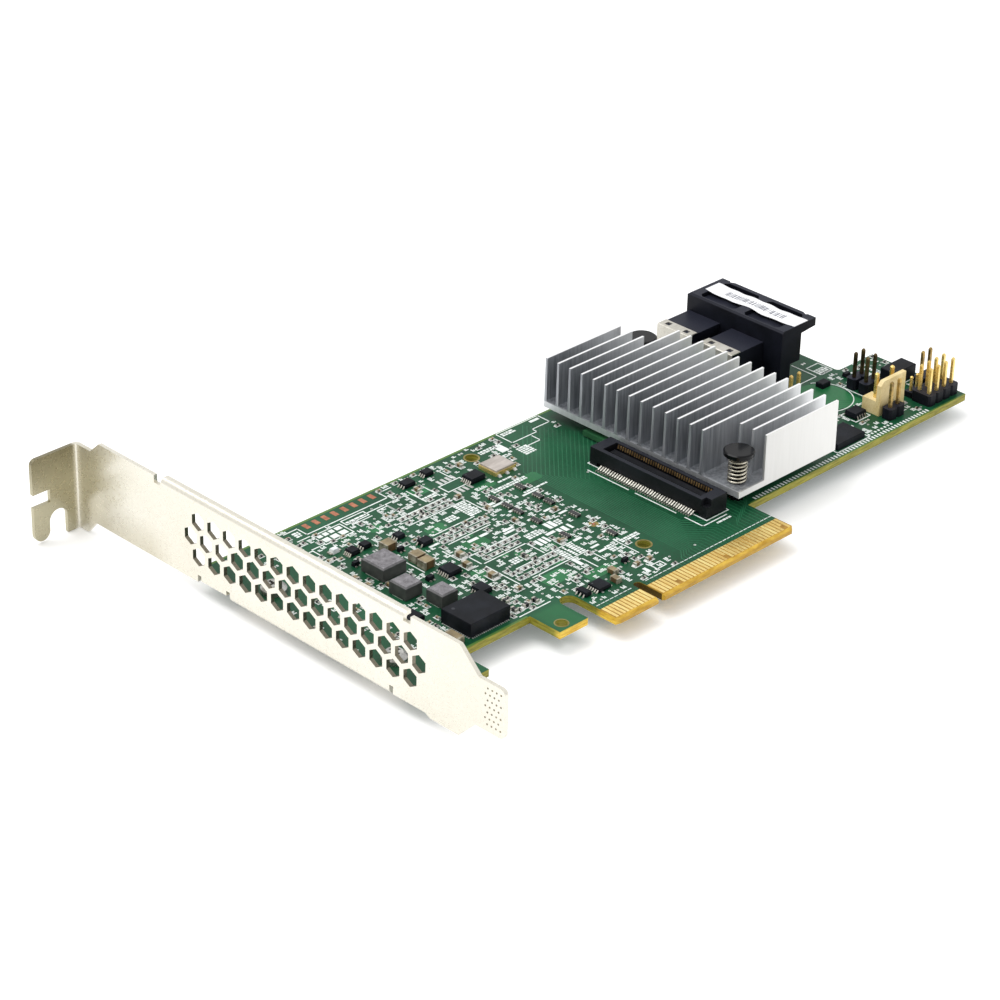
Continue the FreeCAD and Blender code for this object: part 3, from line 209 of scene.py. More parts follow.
# %% [markdown]
# ## Shared finishes as node groups
# Many parts of the card differ only in colour and scale: a cloudy colour change, a fine grain
# that breaks up the gloss, and a little relief for the Bump node.  One group makes all three,
# and each material gives it its own colours and sizes.  Sizes are in pattern cells per metre,
# because Object coordinates are in metres.

# %% Build the node groups
def feed(tree, socket, value):
    """Join another socket to this one, or set a plain value on it."""
    if isinstance(value, bpy.types.NodeSocket):
        tree.links.new(value, socket)
    else:
        socket.default_value = value


def add_node(tree, kind, *values, **settings):
    """A shader node with its properties set and its first inputs fed."""
    node = tree.nodes.new(kind)
    for name, value in settings.items():
        setattr(node, name, value)
    for socket, value in zip(node.inputs, values):
        feed(tree, socket, value)
    return node


def calc(tree, operation, *values):
    """Result socket of a Math node on sockets or numbers."""
    return add_node(tree, "ShaderNodeMath", *values, operation=operation).outputs[0]


def stretch(tree, value, low, high, to_low=0.0, to_high=1.0):
    """Clamp and stretch a value from low..high to another range; ends may be sockets."""
    return add_node(tree, "ShaderNodeMapRange", value, low, high, to_low, to_high).outputs[0]


def split(tree, vector):
    """The x, y and z sockets of a vector socket."""
    return add_node(tree, "ShaderNodeSeparateXYZ", vector).outputs


def blend_colours(tree, factor, first, second):
    """Mix two colours by a factor socket; inputs 6 and 7 are the Mix node's colours."""
    mix = add_node(tree, "ShaderNodeMix", factor, data_type="RGBA")
    feed(tree, mix.inputs[6], first)
    feed(tree, mix.inputs[7], second)
    return mix.outputs[2]


def start_group(name, inputs, outputs):
    """Empty group with named sockets; an input is (label, kind, default)."""
    group = bpy.data.node_groups.new(name, "ShaderNodeTree")
    for label, kind, default in inputs:
        socket = group.interface.new_socket(label, in_out="INPUT", socket_type="NodeSocket" + kind)
        socket.default_value = default
    for label, kind in outputs:
        group.interface.new_socket(label, in_out="OUTPUT", socket_type="NodeSocket" + kind)
    source, sink = add_node(group, "NodeGroupInput"), add_node(group, "NodeGroupOutput")
    return group, source.outputs, sink.inputs


def object_place(tree):
    """Socket with the place on the object, in metres."""
    return add_node(tree, "ShaderNodeTexCoord").outputs["Object"]


GRAIN_SHARE = 0.45


def build_surface_group():
    """Cloudy colour, grainy roughness and fine relief from two noises on stretched coordinates.

    The colour follows cloud + 0.45 grain; roughness and relief follow the grain alone."""
    group, source, sink = start_group("surface finish", [
        ("Dark", "Color", (0, 0, 0, 1)),
        ("Light", "Color", (1, 1, 1, 1)),
        ("Cloud Scale", "Float", 200.0),
        ("Grain Scale", "Float", 3000.0),
        ("Rough Low", "Float", 0.3),
        ("Rough High", "Float", 0.5),
        ("Stretch", "Vector", (1, 1, 1)),
    ], [("Color", "Color"), ("Roughness", "Float"), ("Height", "Float")])
    scaled = add_node(
        group, "ShaderNodeVectorMath", object_place(group), source["Stretch"], operation="MULTIPLY")
    noises = []
    for label, detail in (("Cloud Scale", 3.0), ("Grain Scale", 2.0)):
        noise = add_node(group, "ShaderNodeTexNoise")
        feed(group, noise.inputs["Vector"], scaled.outputs[0])
        feed(group, noise.inputs["Scale"], source[label])
        feed(group, noise.inputs["Detail"], detail)
        noises.append(noise.outputs[0])
    cloud, grain = noises
    factor = stretch(group, calc(group, "MULTIPLY_ADD", grain, GRAIN_SHARE, cloud), 0.5, 0.95)
    feed(group, sink["Color"], blend_colours(group, factor, source["Dark"], source["Light"]))
    rough = stretch(group, grain, 0.35, 0.65, source["Rough Low"], source["Rough High"])
    feed(group, sink["Roughness"], rough)
    feed(group, sink["Height"], grain)
    return group


def build_speck_group():
    """Round specks: one where the distance to the nearest scattered point is short."""
    group, source, sink = start_group(
        "specks", [("Scale", "Float", 1000.0), ("Size", "Float", 0.25)], [("Mask", "Float")])
    scatter = add_node(group, "ShaderNodeTexVoronoi")
    feed(group, scatter.inputs["Vector"], object_place(group))
    feed(group, scatter.inputs["Scale"], source["Scale"])
    distance = scatter.outputs["Distance"]
    feed(group, sink["Mask"], stretch(group, distance, 0.0, source["Size"], 1.0, 0.0))
    return group


def build_region_group():
    """One inside a box with soft walls: the product of a rising and a falling ramp on each axis."""
    group, source, sink = start_group("region", [
        ("Low", "Vector", (0, 0, 0)), ("High", "Vector", (1, 1, 1)), ("Soft", "Float", 0.0005),
    ], [("Mask", "Float")])
    here, lows, highs = (
        split(group, socket) for socket in (object_place(group), source["Low"], source["High"]))
    total = 1.0
    for axis in range(3):
        for first, second in ((here[axis], lows[axis]), (highs[axis], here[axis])):
            gap = calc(group, "SUBTRACT", first, second)
            total = calc(group, "MULTIPLY", total, stretch(group, gap, 0.0, source["Soft"]))
    feed(group, sink["Mask"], total)
    return group


def normal_share(tree, axis):
    """How far the surface faces along an axis: the size of that part of its normal."""
    normal = add_node(tree, "ShaderNodeNewGeometry").outputs["Normal"]
    return calc(tree, "ABSOLUTE", split(tree, normal)[axis])


def build_facing_group():
    """How far the surface faces up or down, stretched between two limits."""
    group, source, sink = start_group(
        "facing up", [("From", "Float", 0.5), ("To", "Float", 0.9)], [("Mask", "Float")])
    feed(group, sink["Mask"], stretch(group, normal_share(group, 2), source["From"], source["To"]))
    return group


SURFACE = build_surface_group()
SPECKS = build_speck_group()
REGION = build_region_group()
FACING = build_facing_group()
print("node groups:", [group.name for group in bpy.data.node_groups])

# %% [markdown]
# ## The materials
# A material starts from one helper: the surface group feeds colour, roughness and bump of a
# Principled shader, and the metal share is set on the shader itself.  Colours are written as
# they look on a screen, 0 to 255, and turned into the linear numbers that light needs.  Later
# colours are laid over the first one where a mask says so, like coats of paint.

# %% Helpers for every finish
def colour(red, green, blue):
    """Screen colour to linear: each channel over 255, offset, and raised to the power 2.4."""
    value = np.array((red, green, blue)) / 255
    linear = np.where(value <= 0.04045, value / 12.92, ((value + 0.055) / 1.055) ** 2.4)
    return (*linear.tolist(), 1.0)


def put_group(tree, group, **values):
    """Place a node group and set its inputs; an underscore in a name stands for a space."""
    node = add_node(tree, "ShaderNodeGroup", node_tree=group)
    for name, value in values.items():
        node.inputs[name.replace("_", " ")].default_value = value
    return node


RELIEF = 0.00002


def finish(name, dark, light, metal=0.0, rough=(0.3, 0.5), cloud=200.0, grain=3000.0,
           along=(1, 1, 1), bump=0.1, shine=0.5):
    """Material whose colour clouds between dark and light, with grainy gloss and fine relief."""
    material = bpy.data.materials.new(name)
    material.use_nodes = True
    tree = material.node_tree
    shader = tree.nodes["Principled BSDF"].inputs
    shader["Metallic"].default_value = metal
    shader["Specular IOR Level"].default_value = shine
    surface = put_group(
        tree, SURFACE, Dark=colour(*dark), Light=colour(*light), Cloud_Scale=cloud,
        Grain_Scale=grain, Rough_Low=rough[0], Rough_High=rough[1], Stretch=along).outputs
    relief = add_node(tree, "ShaderNodeBump")
    relief.inputs["Strength"].default_value = bump
    relief.inputs["Distance"].default_value = RELIEF
    feed(tree, relief.inputs["Height"], surface["Height"])
    feed(tree, shader["Base Color"], surface["Color"])
    feed(tree, shader["Roughness"], surface["Roughness"])
    feed(tree, shader["Normal"], relief.outputs[0])
    return material


def clouds(material, dark, light, **sizes):
    """Colour socket of one more cloudy colour in a material."""
    sizes.update(Dark=colour(*dark), Light=colour(*light))
    return put_group(material.node_tree, SURFACE, **sizes).outputs["Color"]


def combine(material, operation, first, second):
    """Math on two masks, or on a mask and a number."""
    return calc(material.node_tree, operation, first, second)


def tint(material, mask, shade, share=1.0):
    """Lay a colour over the present one where the mask is one; share thins the coat."""
    tree = material.node_tree
    if share < 1.0:
        mask = calc(tree, "MULTIPLY", mask, share)
    if isinstance(shade, tuple):
        shade = colour(*shade)
    target = tree.nodes["Principled BSDF"].inputs["Base Color"]
    feed(tree, target, blend_colours(tree, mask, target.links[0].from_socket, shade))


def inside(material, low, high, soft=0.3):
    """Mask socket of a soft-walled box given in millimetres.

    The soft wall lies inside the box on all six sides, so an open side is put far away."""
    low, high = (tuple(v * MM for v in corner) for corner in (low, high))
    return put_group(material.node_tree, REGION, Low=low, High=high, Soft=soft * MM).outputs["Mask"]


def facing_up(material, **limits):
    """Mask of the faces that look up or down."""
    return put_group(material.node_tree, FACING, **limits).outputs["Mask"]


print("finish helpers ready")

# %% [markdown]
# ## Laminate, solder mask and bare edges
# A circuit board is woven glass in resin under a thin green lacquer.  Its cut edges show the
# bare laminate, which is olive, and the ground edge of the contact tongue is golden, with the
# glass layers as fine lines.  Between the gold contacts there is no lacquer, so it is ochre.

# %% The board's material
lacquer = finish("green_solder_mask", (8, 58, 34), (26, 86, 56), rough=(0.3, 0.42), cloud=55.0,
                 grain=1400.0, bump=0.15, shine=0.2)
side = combine(lacquer, "SUBTRACT", 1.0, facing_up(lacquer, From=0.9, To=0.97))
layers = clouds(lacquer, (106, 102, 30), (162, 156, 62), Cloud_Scale=300.0, Grain_Scale=900.0,
                Stretch=(1, 1, 9))
bare = clouds(lacquer, (132, 96, 34), (182, 140, 60), Cloud_Scale=300.0, Grain_Scale=1500.0,
              Stretch=(1, 1, 6))
golden = clouds(lacquer, (196, 150, 40), (240, 206, 84), Cloud_Scale=300.0, Grain_Scale=1200.0,
                Stretch=(1, 1, 8))
tint(lacquer, inside(lacquer, (-24, -1, -1), (-15.6, 13, 1), 1.5), (46, 118, 66), 0.7)
EDGE_RIMS = (((-60, 67.7, -1), (112, 69, 1)), ((-42.6, 11, -1), (-24, 12.9, 1)),
             ((40, 11, -1), (112, 12.75, 1)))
for rim_low, rim_high in EDGE_RIMS:
    tint(lacquer, inside(lacquer, rim_low, rim_high, 0.1), (96, 128, 56), 0.7)
tint(lacquer, side, layers)
tint(lacquer, inside(lacquer, (-12.4, -0.5, -3), (39.6, 4.95, 1), 0.1), bare)
tongue_edge = inside(lacquer, (-26, -0.5, -3), (44, 6, 1), 1.5)
tint(lacquer, combine(lacquer, "MULTIPLY", side, tongue_edge), golden)
key_notch = inside(lacquer, (-1.2, 0.8, -3), (1.2, 7.6, -0.02), 0.2)
tint(lacquer, combine(lacquer, "MULTIPLY", side, key_notch), (84, 66, 24))
print("solder mask nodes:", len(lacquer.node_tree.nodes))

# %% [markdown]
# ## Metals
# Plated steel, drawn aluminium and gold differ mostly in colour and in the direction of their
# grain.  Drawn metal gets its noise stretched along the drawing direction, so the gloss breaks
# into fine streaks.  Plating is smoother, with wide soft clouds.

# %% Plain metals, by the slot they belong to
MATERIALS = {
    "solder_mask": lacquer,
    "contact_gold": finish(
        "finger_gold", (226, 186, 98), (255, 236, 160), metal=0.75, rough=(0.22, 0.4),
        cloud=180.0, grain=2500.0, along=(3, 0.4, 1)),
    "screw_steel": finish(
        "screw_steel", (150, 150, 148), (205, 205, 200), metal=0.9, rough=(0.25, 0.45),
        cloud=400.0),
    "shield_steel": finish(
        "shield_steel", (176, 172, 160), (222, 219, 210), metal=0.8, rough=(0.3, 0.45),
        cloud=160.0, grain=2500.0, along=(0.2, 1, 1)),
    "solder": finish(
        "solder", (176, 178, 178), (232, 232, 228), metal=0.6, rough=(0.3, 0.5), cloud=900.0),
    "post_metal": finish(
        "gold_posts", (96, 78, 44), (214, 180, 108), metal=0.8, rough=(0.25, 0.4), cloud=330.0,
        grain=2000.0),
    "oscillator_gold": finish(
        "gold_rim", (206, 178, 96), (244, 224, 150), metal=0.7, rough=(0.3, 0.4), cloud=300.0),
    "black_spring": finish(
        "dark_spring_steel", (150, 144, 128), (228, 222, 206), metal=0.95, rough=(0.14, 0.24),
        cloud=400.0),
}
dark_posts = finish(
    "bronze_posts", (46, 40, 30), (130, 110, 74), metal=0.8, rough=(0.3, 0.45), cloud=420.0)
# Painted shade: these gold header pins are painted dark bronze below for the shade they stand in,
# and only the region above 4.5 mm keeps the gold.
posts_painted_shade_below = finish(
    "gold_posts_painted_shade_below", (60, 50, 34), (96, 80, 50), metal=0.8, rough=(0.25, 0.4), cloud=420.0)
tint(posts_painted_shade_below, inside(posts_painted_shade_below, (70, 25, 4.5), (85, 40, 10), 1.0), (236, 202, 124))
cap_plating = finish(
    "capacitor_plating", (122, 112, 92), (196, 188, 170), metal=0.6, rough=(0.3, 0.45),
    cloud=700.0)
tin_leads = finish(
    "tinned_leads", (150, 148, 140), (226, 222, 210), metal=0.75, rough=(0.25, 0.4), cloud=700.0)
lid_metal = finish(
    "brushed_lid", (164, 155, 148), (206, 198, 191), metal=0.5, rough=(0.35, 0.5), cloud=300.0,
    grain=2600.0, along=(0.3, 1.6, 1))
print("plain metals:", len(MATERIALS) - 1)

# %% The bracket's plating, with painted reflections near the tab and painted shade low on the plate
nickel = finish(
    "nickel_plate", (221, 216, 202), (234, 231, 220), metal=0.85, rough=(0.26, 0.34), cloud=30.0,
    grain=1600.0, bump=0.012)
# Painted reflection: the neck, the tab and the tab's top are darkened to khaki and olive, standing
# in for dark surroundings reflected in the plating. low_shade is painted shade low on the plate.
neck_painted_reflection = inside(nickel, (-72, 92, -6), (-50, 106, 18), 6.0)
tab_painted_reflection = inside(nickel, (-72, 95, -6), (-59.4, 106, 18), 0.8)
tab_top_painted_reflection = combine(
    nickel, "MULTIPLY", tab_painted_reflection, inside(nickel, (-120, 60, 7), (-40, 160, 60), 7.0))
low_shade = inside(nickel, (-120, 74, -60), (0, 102, 6), 7.0)
tint(nickel, neck_painted_reflection, (176, 167, 136), 0.5)
tint(nickel, low_shade, (160, 150, 118), 0.4)
tint(nickel, tab_painted_reflection, (164, 157, 126), 0.8)
tint(nickel, tab_top_painted_reflection, (120, 113, 88), 0.8)
# Painted shade: the side walls of the vent holes are darkened for the shade that falls inside them.
hole_wall_painted_shade = stretch(nickel.node_tree, normal_share(nickel.node_tree, 0), 0.2, 0.5, 1.0, 0.0)
vent_shade_region = inside(nickel, (-59.3, 1.5, 1.6), (-57.9, 74, 13.8), 0.1)
tint(nickel, combine(nickel, "MULTIPLY", hole_wall_painted_shade, vent_shade_region), (92, 84, 62), 0.85)
MATERIALS["nickel_steel"] = nickel
print("bracket plating nodes:", len(nickel.node_tree.nodes))

# %% The heatsink's aluminium, with painted highlights towards its far end, on the fin tops, its left side and the front fin
aluminium = finish(
    "drawn_aluminium", (128, 132, 138), (174, 177, 182), metal=0.6, rough=(0.34, 0.5),
    cloud=1500.0, grain=3600.0, along=(1, 1, 0.05))
# Painted highlight: the far end is lightened to stand in for the sheen of light between the fins.
far_end_painted_highlight = inside(aluminium, (39, -100, -100), (200, 200, 200), 28.0)
tint(aluminium, far_end_painted_highlight, (246, 247, 248), 0.9)
# Painted highlight on the lit top edges of the fins.
fin_tops_painted_highlight = inside(aluminium, (30, 10, 13), (70, 70, 20), 0.3)
tint(aluminium, combine(aluminium, "MULTIPLY", facing_up(aluminium), fin_tops_painted_highlight), (250, 250, 250),
     0.85)
# Painted highlight: the lit left side face of the base and the front fin, which faces the light,
# are lightened.
tint(aluminium, inside(aluminium, (35, 10, 2), (36.6, 70, 3.9), 0.1), (226, 228, 230), 0.6)
tint(aluminium, inside(aluminium, (30, 10, 0), (70, 12.9, 20), 0.4), (226, 225, 221), 0.75)
MATERIALS["aluminium"] = aluminium
print("aluminium nodes:", len(aluminium.node_tree.nodes))

# %% [markdown]
# ## Plastics, ceramics and paper
# Moulded plastic has a fine sandy surface from its tool, chips have a duller and coarser one.
# The coil blocks are pressed iron powder, so their grey shows dark and bright specks.  The tan
# capacitors are fired ceramic with a paler top face.

# %% Non-metal materials
hood_plastic = finish(
    "connector_plastic", (9, 10, 14), (25, 27, 36), rough=(0.36, 0.5), cloud=150.0, grain=4200.0,
    bump=0.2, shine=0.12)
# Painted highlight: the faces that look up are lightened as if lit from above.
tint(hood_plastic, facing_up(hood_plastic), (46, 48, 60), 0.6)
socket_plastic = finish(
    "socket_plastic", (10, 11, 14), (26, 28, 34), rough=(0.35, 0.5), cloud=150.0, grain=4200.0,
    bump=0.25, shine=0.25)
# Painted highlight: a lighter line along the top rim of the socket, where the chamfer catches the
# light.
socket_rim_painted_highlight = inside(socket_plastic, (28, 13, 3.9), (35, 47, 4.2), 0.06)
tint(socket_plastic, socket_rim_painted_highlight, (42, 44, 51), 0.8)
iron = finish(
    "pressed_iron", (46, 48, 47), (70, 72, 69), rough=(0.45, 0.65), cloud=500.0, grain=4500.0,
    bump=0.35)
iron_top = clouds(iron, (88, 86, 89), (136, 133, 137), Cloud_Scale=900.0, Grain_Scale=4200.0)
tint(iron, facing_up(iron), iron_top)
pits = put_group(iron.node_tree, SPECKS, Scale=3200.0, Size=0.3).outputs["Mask"]
tint(iron, pits, (64, 62, 62), 0.6)
tan = finish("tan_ceramic", (74, 56, 34), (112, 88, 54), rough=(0.4, 0.55), cloud=500.0, bump=0.15)
tan_top = clouds(tan, (110, 96, 68), (150, 134, 100), Cloud_Scale=500.0, Grain_Scale=3000.0)
tint(tan, facing_up(tan), tan_top)
MATERIALS.update(
    connector_plastic=hood_plastic, ferrite=iron, tan_ceramic=tan,
    black_nylon=finish("black_nylon", (5, 5, 7), (14, 14, 17), rough=(0.14, 0.22), cloud=250.0,
                       bump=0.02, shine=0.2),
    thermal_pad=finish("grey_thermal_pad", (128, 132, 140), (165, 168, 174), rough=(0.6, 0.8),
                       cloud=300.0),
    chip_epoxy=finish("chip_resin", (10, 12, 16), (27, 30, 37), rough=(0.35, 0.5), cloud=260.0,
                      grain=5200.0, bump=0.25, shine=0.1),
    substrate=finish("green_substrate", (26, 74, 44), (52, 110, 66), rough=(0.35, 0.5),
                     cloud=120.0),
    ivory_plastic=finish("ivory_plastic", (208, 184, 122), (240, 222, 172), rough=(0.35, 0.5),
                         cloud=280.0),
    label_paper=finish("label_paper", (226, 227, 230), (246, 246, 247), rough=(0.4, 0.55),
                       cloud=120.0),
)
print(len(MATERIALS), "slot materials")

# %% Give the CAD nodes their materials
slot_of = {part["node"]: part["material_slot"] for part in frame["record"]["subparts"]}
SPECIAL = {
    "oscillator_lid": lid_metal, "activity_header_pins": dark_posts,
    "fault_header_pins": dark_posts, "service_header_pins": posts_painted_shade_below,
    "chip_leads": tin_leads, "mezzanine_contacts": tin_leads, "capacitor_ends": cap_plating,
    "mezzanine_housing": socket_plastic,
}
for node_name, node_object in frame["nodes"].items():
    chosen = SPECIAL.get(node_name, MATERIALS[slot_of[node_name]])
    if not node_object.material_slots:
        node_object.data.materials.append(chosen)
    for slot in node_object.material_slots:
        slot.material = chosen
print(len(frame["nodes"]), "nodes finished")

# %% [markdown]
# ## Copper traces under the lacquer
# Traces are strips of copper a tenth to a fifth of a millimetre wide that shine through the
# lacquer as lighter lines.  They run side by side and turn only by 45 degrees.  Each one is a
# ribbon carried along its points: at a point the ribbon's sides are pushed out along the
# mitre, the half-way direction between the two runs that meet there.

# %% A ribbon along points
TRACE_HIGH = 0.012
PAD_HIGH = 0.03
INK_HIGH = 0.045


def ribbon(points, width, high=TRACE_HIGH):
    """Flat strip along points: half the width along the mitre, over the cosine of half the turn."""
    points = np.asarray(points, float)
    runs = np.diff(points, axis=0)
    runs /= np.linalg.norm(runs, axis=1)[:, None]
    before = np.vstack([runs[:1], runs])
    after = np.vstack([runs, runs[-1:]])
    across = np.column_stack([-(before + after)[:, 1], (before + after)[:, 0]])
    across /= np.linalg.norm(across, axis=1)[:, None]
    spread = 1 / (across * np.column_stack([-after[:, 1], after[:, 0]])).sum(axis=1)
    shift = across * (spread * width / 2)[:, None]
    left, right = points + shift, points - shift
    count = len(points)
    verts = at_levels((left, 0.0), (right, 0.0), (right, high), (left, high))
    walls = bands(4, count, closed=True).reshape(4, count, 4)[:, :-1].reshape(-1, 4)
    ends = np.arange(4) * count
    return verts, np.vstack([walls, ends, (ends + count - 1)[::-1]])


TRACE_PITCH = 0.52
TRACE_WIDTH = 0.2
STUB_WIDTH = 0.22
BUS_LEFT = 15.6
BUS_COUNT = 18
BUS_REACH = 14.5
FINGER_FIRST = 13.5
FINGER_TOP = 5.0


def bus_trace(index):
    """One line of the wide bus: up from its finger, over at 45 degrees, along, and over again."""
    finger = FINGER_FIRST + index
    lane = BUS_LEFT + index * TRACE_PITCH
    low_bend = 7.2 + 0.25 * index
    high_bend = 52.5 - 0.75 * index
    return [(finger, FINGER_TOP), (finger, low_bend), (lane, low_bend + abs(finger - lane)),
            (lane, high_bend), (lane + BUS_REACH, high_bend + BUS_REACH)]


def bundle(count, path, width=TRACE_WIDTH):
    """Ribbons side by side: path gives the points of ribbon 0, 1, 2 and so on."""
    return [ribbon(path(k), width) for k in range(count)]


dark_copper = finish(
    "copper_under_lacquer", (26, 84, 55), (48, 108, 76), rough=(0.3, 0.42), cloud=90.0, shine=0.2)
strips = bundle(BUS_COUNT, bus_trace)
strips += bundle(
    12, lambda k: [(1.5 + k, FINGER_TOP), (1.5 + k, 5.6 + 0.35 * (k % 4))], STUB_WIDTH)
strips += bundle(
    11, lambda k: [(-1.5 - k, FINGER_TOP), (-1.5 - k, 5.6 + 0.35 * (k % 3))], STUB_WIDTH)
strips += bundle(8, lambda k: [(31.5 + k, FINGER_TOP), (31.5 + k, 8.5 + 0.5 * k),
                               (33.5 + k, 10.5 + 0.5 * k), (33.5 + k, 13.5 + k)])
strips += bundle(8, lambda k: [(67.5 + 0.55 * k, 58.0 - 0.4 * k),
                               (67.5 + 0.55 * k, 24.0 + 0.55 * k), (70 + 1.1 * k, 21.5)])
strips += bundle(5, lambda k: [(81.0 + 0.6 * k, 40.0), (81.0 + 0.6 * k, 31.0 + 0.6 * k),
                               (92.0, 20.0 + 1.2 * k)])
add_piece("bus_traces", join(strips), "solder_mask", dark_copper)

# %% [markdown]
# ## Copper pours
# Where a supply needs a lot of current the copper fills a whole area.  Under lacquer it shows
# as a paler patch with straight edges and cut corners.

# %% Pours as flat patches
POURS = [
    (-9.5, 27.5, -7, 31), (-4.4, 27.3, -0.5, 28.8), (-10.9, 40.9, -9.8, 42.7), (-13, 17, -6, 21),
    (-8, 60, -3, 63), (-5.5, 13.2, 2, 16), (12.5, 48.5, 17.5, 51.6), (-16, 46.9, -11, 49.6),
    (-24, 55.2, -20.5, 58), (-31, 57, -26.5, 58), (3.3, 52.8, 8.5, 54.6), (-21, 28, -18, 31.5),
    (-14.5, 37, -8.8, 40.6), (68, 28, 72, 36), (86.2, 24.5, 92, 33.2), (-12, 30.9, -9.8, 32.2),
    (-6.5, 22, -3.8, 23.5), (-42, 30, -38.4, 36),
]
POUR_HIGH = 0.007
CORNER_CUT = 0.6


def cut_patch(x0, y0, x1, y1):
    """Rectangle with cut corners: eight points at each level, walls between, and two caps."""
    in_x0, in_y0, in_x1, in_y1 = x0 + CORNER_CUT, y0 + CORNER_CUT, x1 - CORNER_CUT, y1 - CORNER_CUT
    ring = np.array([(in_x0, y0), (in_x1, y0), (x1, in_y0), (x1, in_y1),
                     (in_x1, y1), (in_x0, y1), (x0, in_y1), (x0, in_y0)])
    cap = np.array([(0, 1, 2, 7), (7, 2, 3, 6), (6, 3, 4, 5)])
    verts = at_levels((ring, 0.0), (ring, POUR_HIGH))
    return verts, np.vstack([bands(2, 8), cap + 8, cap[:, ::-1]])


pale_copper = finish(
    "pour_under_lacquer", (26, 92, 52), (46, 116, 72), rough=(0.3, 0.42), cloud=120.0, shine=0.2)
add_piece("copper_pours", join([cut_patch(*patch) for patch in POURS]), "solder_mask", pale_copper)

# %% [markdown]
# ## Where things may go
# Small parts must not run into the big ones.  The board is covered by a fine grid of yes and
# no, and the floor of every CAD solid near it is marked as taken.  A small part is only placed
# where all its cells are free, and then marks them as well.

# %% The grid of free places
CELL = 0.1
GRID_LEFT, GRID_LOW, GRID_RIGHT, GRID_HIGH = -57.0, 0.0, 111.0, 69.0
EDGE_MARGIN = 0.4
taken = np.zeros((int((GRID_RIGHT - GRID_LEFT) / CELL), int((GRID_HIGH - GRID_LOW) / CELL)), bool)


def cells(x0, y0, x1, y1, spare):
    """Slices of the grid that a rectangle covers, grown by a spare margin."""
    slices = []
    for low, high, base in ((x0, x1, GRID_LEFT), (y0, y1, GRID_LOW)):
        first = max(0, int(round((low - spare - base) / CELL)))
        last = int(round((high + spare - base) / CELL))
        slices.append(slice(first, max(last, first + 1)))
    return tuple(slices)


def is_free(x0, y0, x1, y1, spare=0.12):
    """True when the rectangle keeps off the far edges and nothing has marked its cells."""
    if x1 > board_high[0] - EDGE_MARGIN or y1 > board_high[1] - EDGE_MARGIN:
        return False
    return not taken[cells(x0, y0, x1, y1, spare)].any()


def take(x0, y0, x1, y1, spare=0.0):
    """Mark the rectangle's cells."""
    taken[cells(x0, y0, x1, y1, spare)] = True


# %% Mark what stands on the board already
LOW_ENOUGH = 1.0
SCATTERED_NODES = (
    "chip_leads", "capacitor_bodies", "capacitor_ends", "rail_chips", "inductor_terminals")
SKIPPED_NODES = (
    "push_pins", "push_pin_springs", "slot_bracket", "bracket_screws", "edge_contacts", "board",
    "cache_chips", "heatsink", "thermal_pad", "processor_lid")


def loose_boxes(name):
    """Floor rectangles of a node's separate solids, found by flooding over shared corners."""
    mesh = frame["nodes"][name].data
    points = np.empty(len(mesh.vertices) * 3)
    mesh.vertices.foreach_get("co", points)
    points = points.reshape(-1, 3) / MM
    corners = np.empty(len(mesh.loops), np.int32)
    mesh.loops.foreach_get("vertex_index", corners)
    _, same = np.unique(points.round(3), axis=0, return_inverse=True)
    same = same.reshape(-1)
    corners = same[corners.reshape(-1, 3)]
    label = np.arange(corners.max() + 1)
    while True:
        lowest = label[corners].min(axis=1)
        fresh = label.copy()
        for column in range(3):
            np.minimum.at(fresh, corners[:, column], lowest)
        if (fresh == label).all():
            break
        label = fresh
    found = []
    for group in np.unique(label[same]):
        own = points[label[same] == group]
        if own[:, 2].min() < LOW_ENOUGH:
            found.append((*own[:, :2].min(axis=0), *own[:, :2].max(axis=0)))
    return found


for node_name in frame["nodes"]:
    if node_name in SCATTERED_NODES:
        for rectangle in loose_boxes(node_name):
            take(*rectangle, 0.15)
    elif node_name not in SKIPPED_NODES:
        low, high = node_box(node_name)
        if low[2] < LOW_ENOUGH:
            take(*low[:2], *high[:2], 0.2)
HOLES = ((12.2, 16.0, 1.9), (12.2, 64.15, 1.9), (39.7, 16.0, 3.4), (63.0, 63.82, 3.4),
         (-21.0, 6.5, 1.8))
for x, y, radius in HOLES:
    take(*about(x, y, radius, radius))
for index in range(BUS_COUNT):
    path = np.array(bus_trace(index))
    take(path[2][0] - 0.2, path[2][1] - 1, path[3][0] + 0.3, path[3][1])
    for x, y in path[3] + np.linspace(0, 1, 40)[:, None] * (path[4] - path[3]):
        take(*about(x, y, 0.3, 0.3))
TONGUE_ROOT, COPPER_PAD_ROW = (13.0, 4.0, 40.0, 13.0), (-33.2, 64.2, -12.4, 67.8)
CUT_OUTS = ((-1.4, 0, 1.4, 7.8), (-16.3, 0, -11.95, 12.9), (-42.4, 0, -23.6, 12.8),
            (39.2, 0, 110.5, 12.7))
for kept_clear in (TONGUE_ROOT, COPPER_PAD_ROW, *CUT_OUTS):
    take(*kept_clear)
print("share of the board already taken:", round(float(taken.mean()), 3))

# %% [markdown]
# ## Printed ink and small parts, collected first
# Pads, ink and parts are gathered as rectangles in plain lists, and turned into a handful of
# meshes at the end.  A small part has a body, two metal caps and a little slope of solder at
# each end, which is a block that narrows from its pad up to the cap.

# %% Lists and placing helpers
INK = 0.26
FINE_INK = 0.16
TICK_STEP, TICK_LONG, TICK_THICK = 0.38, 0.95, 0.25
ink_rects, pad_rects, via_spots, packs, pack_ends = [], [], [], [], []
small_parts = {"resistor": [], "capacitor": []}
PART_SIZES = {"tiny": (1.0, 0.5, 0.35), "small": (1.6, 0.8, 0.7), "medium": (2.0, 1.25, 1.0)}


def ink_line(x0, y0, x1, y1, width=INK):
    """Straight printed line along an axis, as wide as the pen."""
    half = width / 2
    ink_rects.append((min(x0, x1) - half, min(y0, y1) - half, max(x0, x1) + half,
                      max(y0, y1) + half))


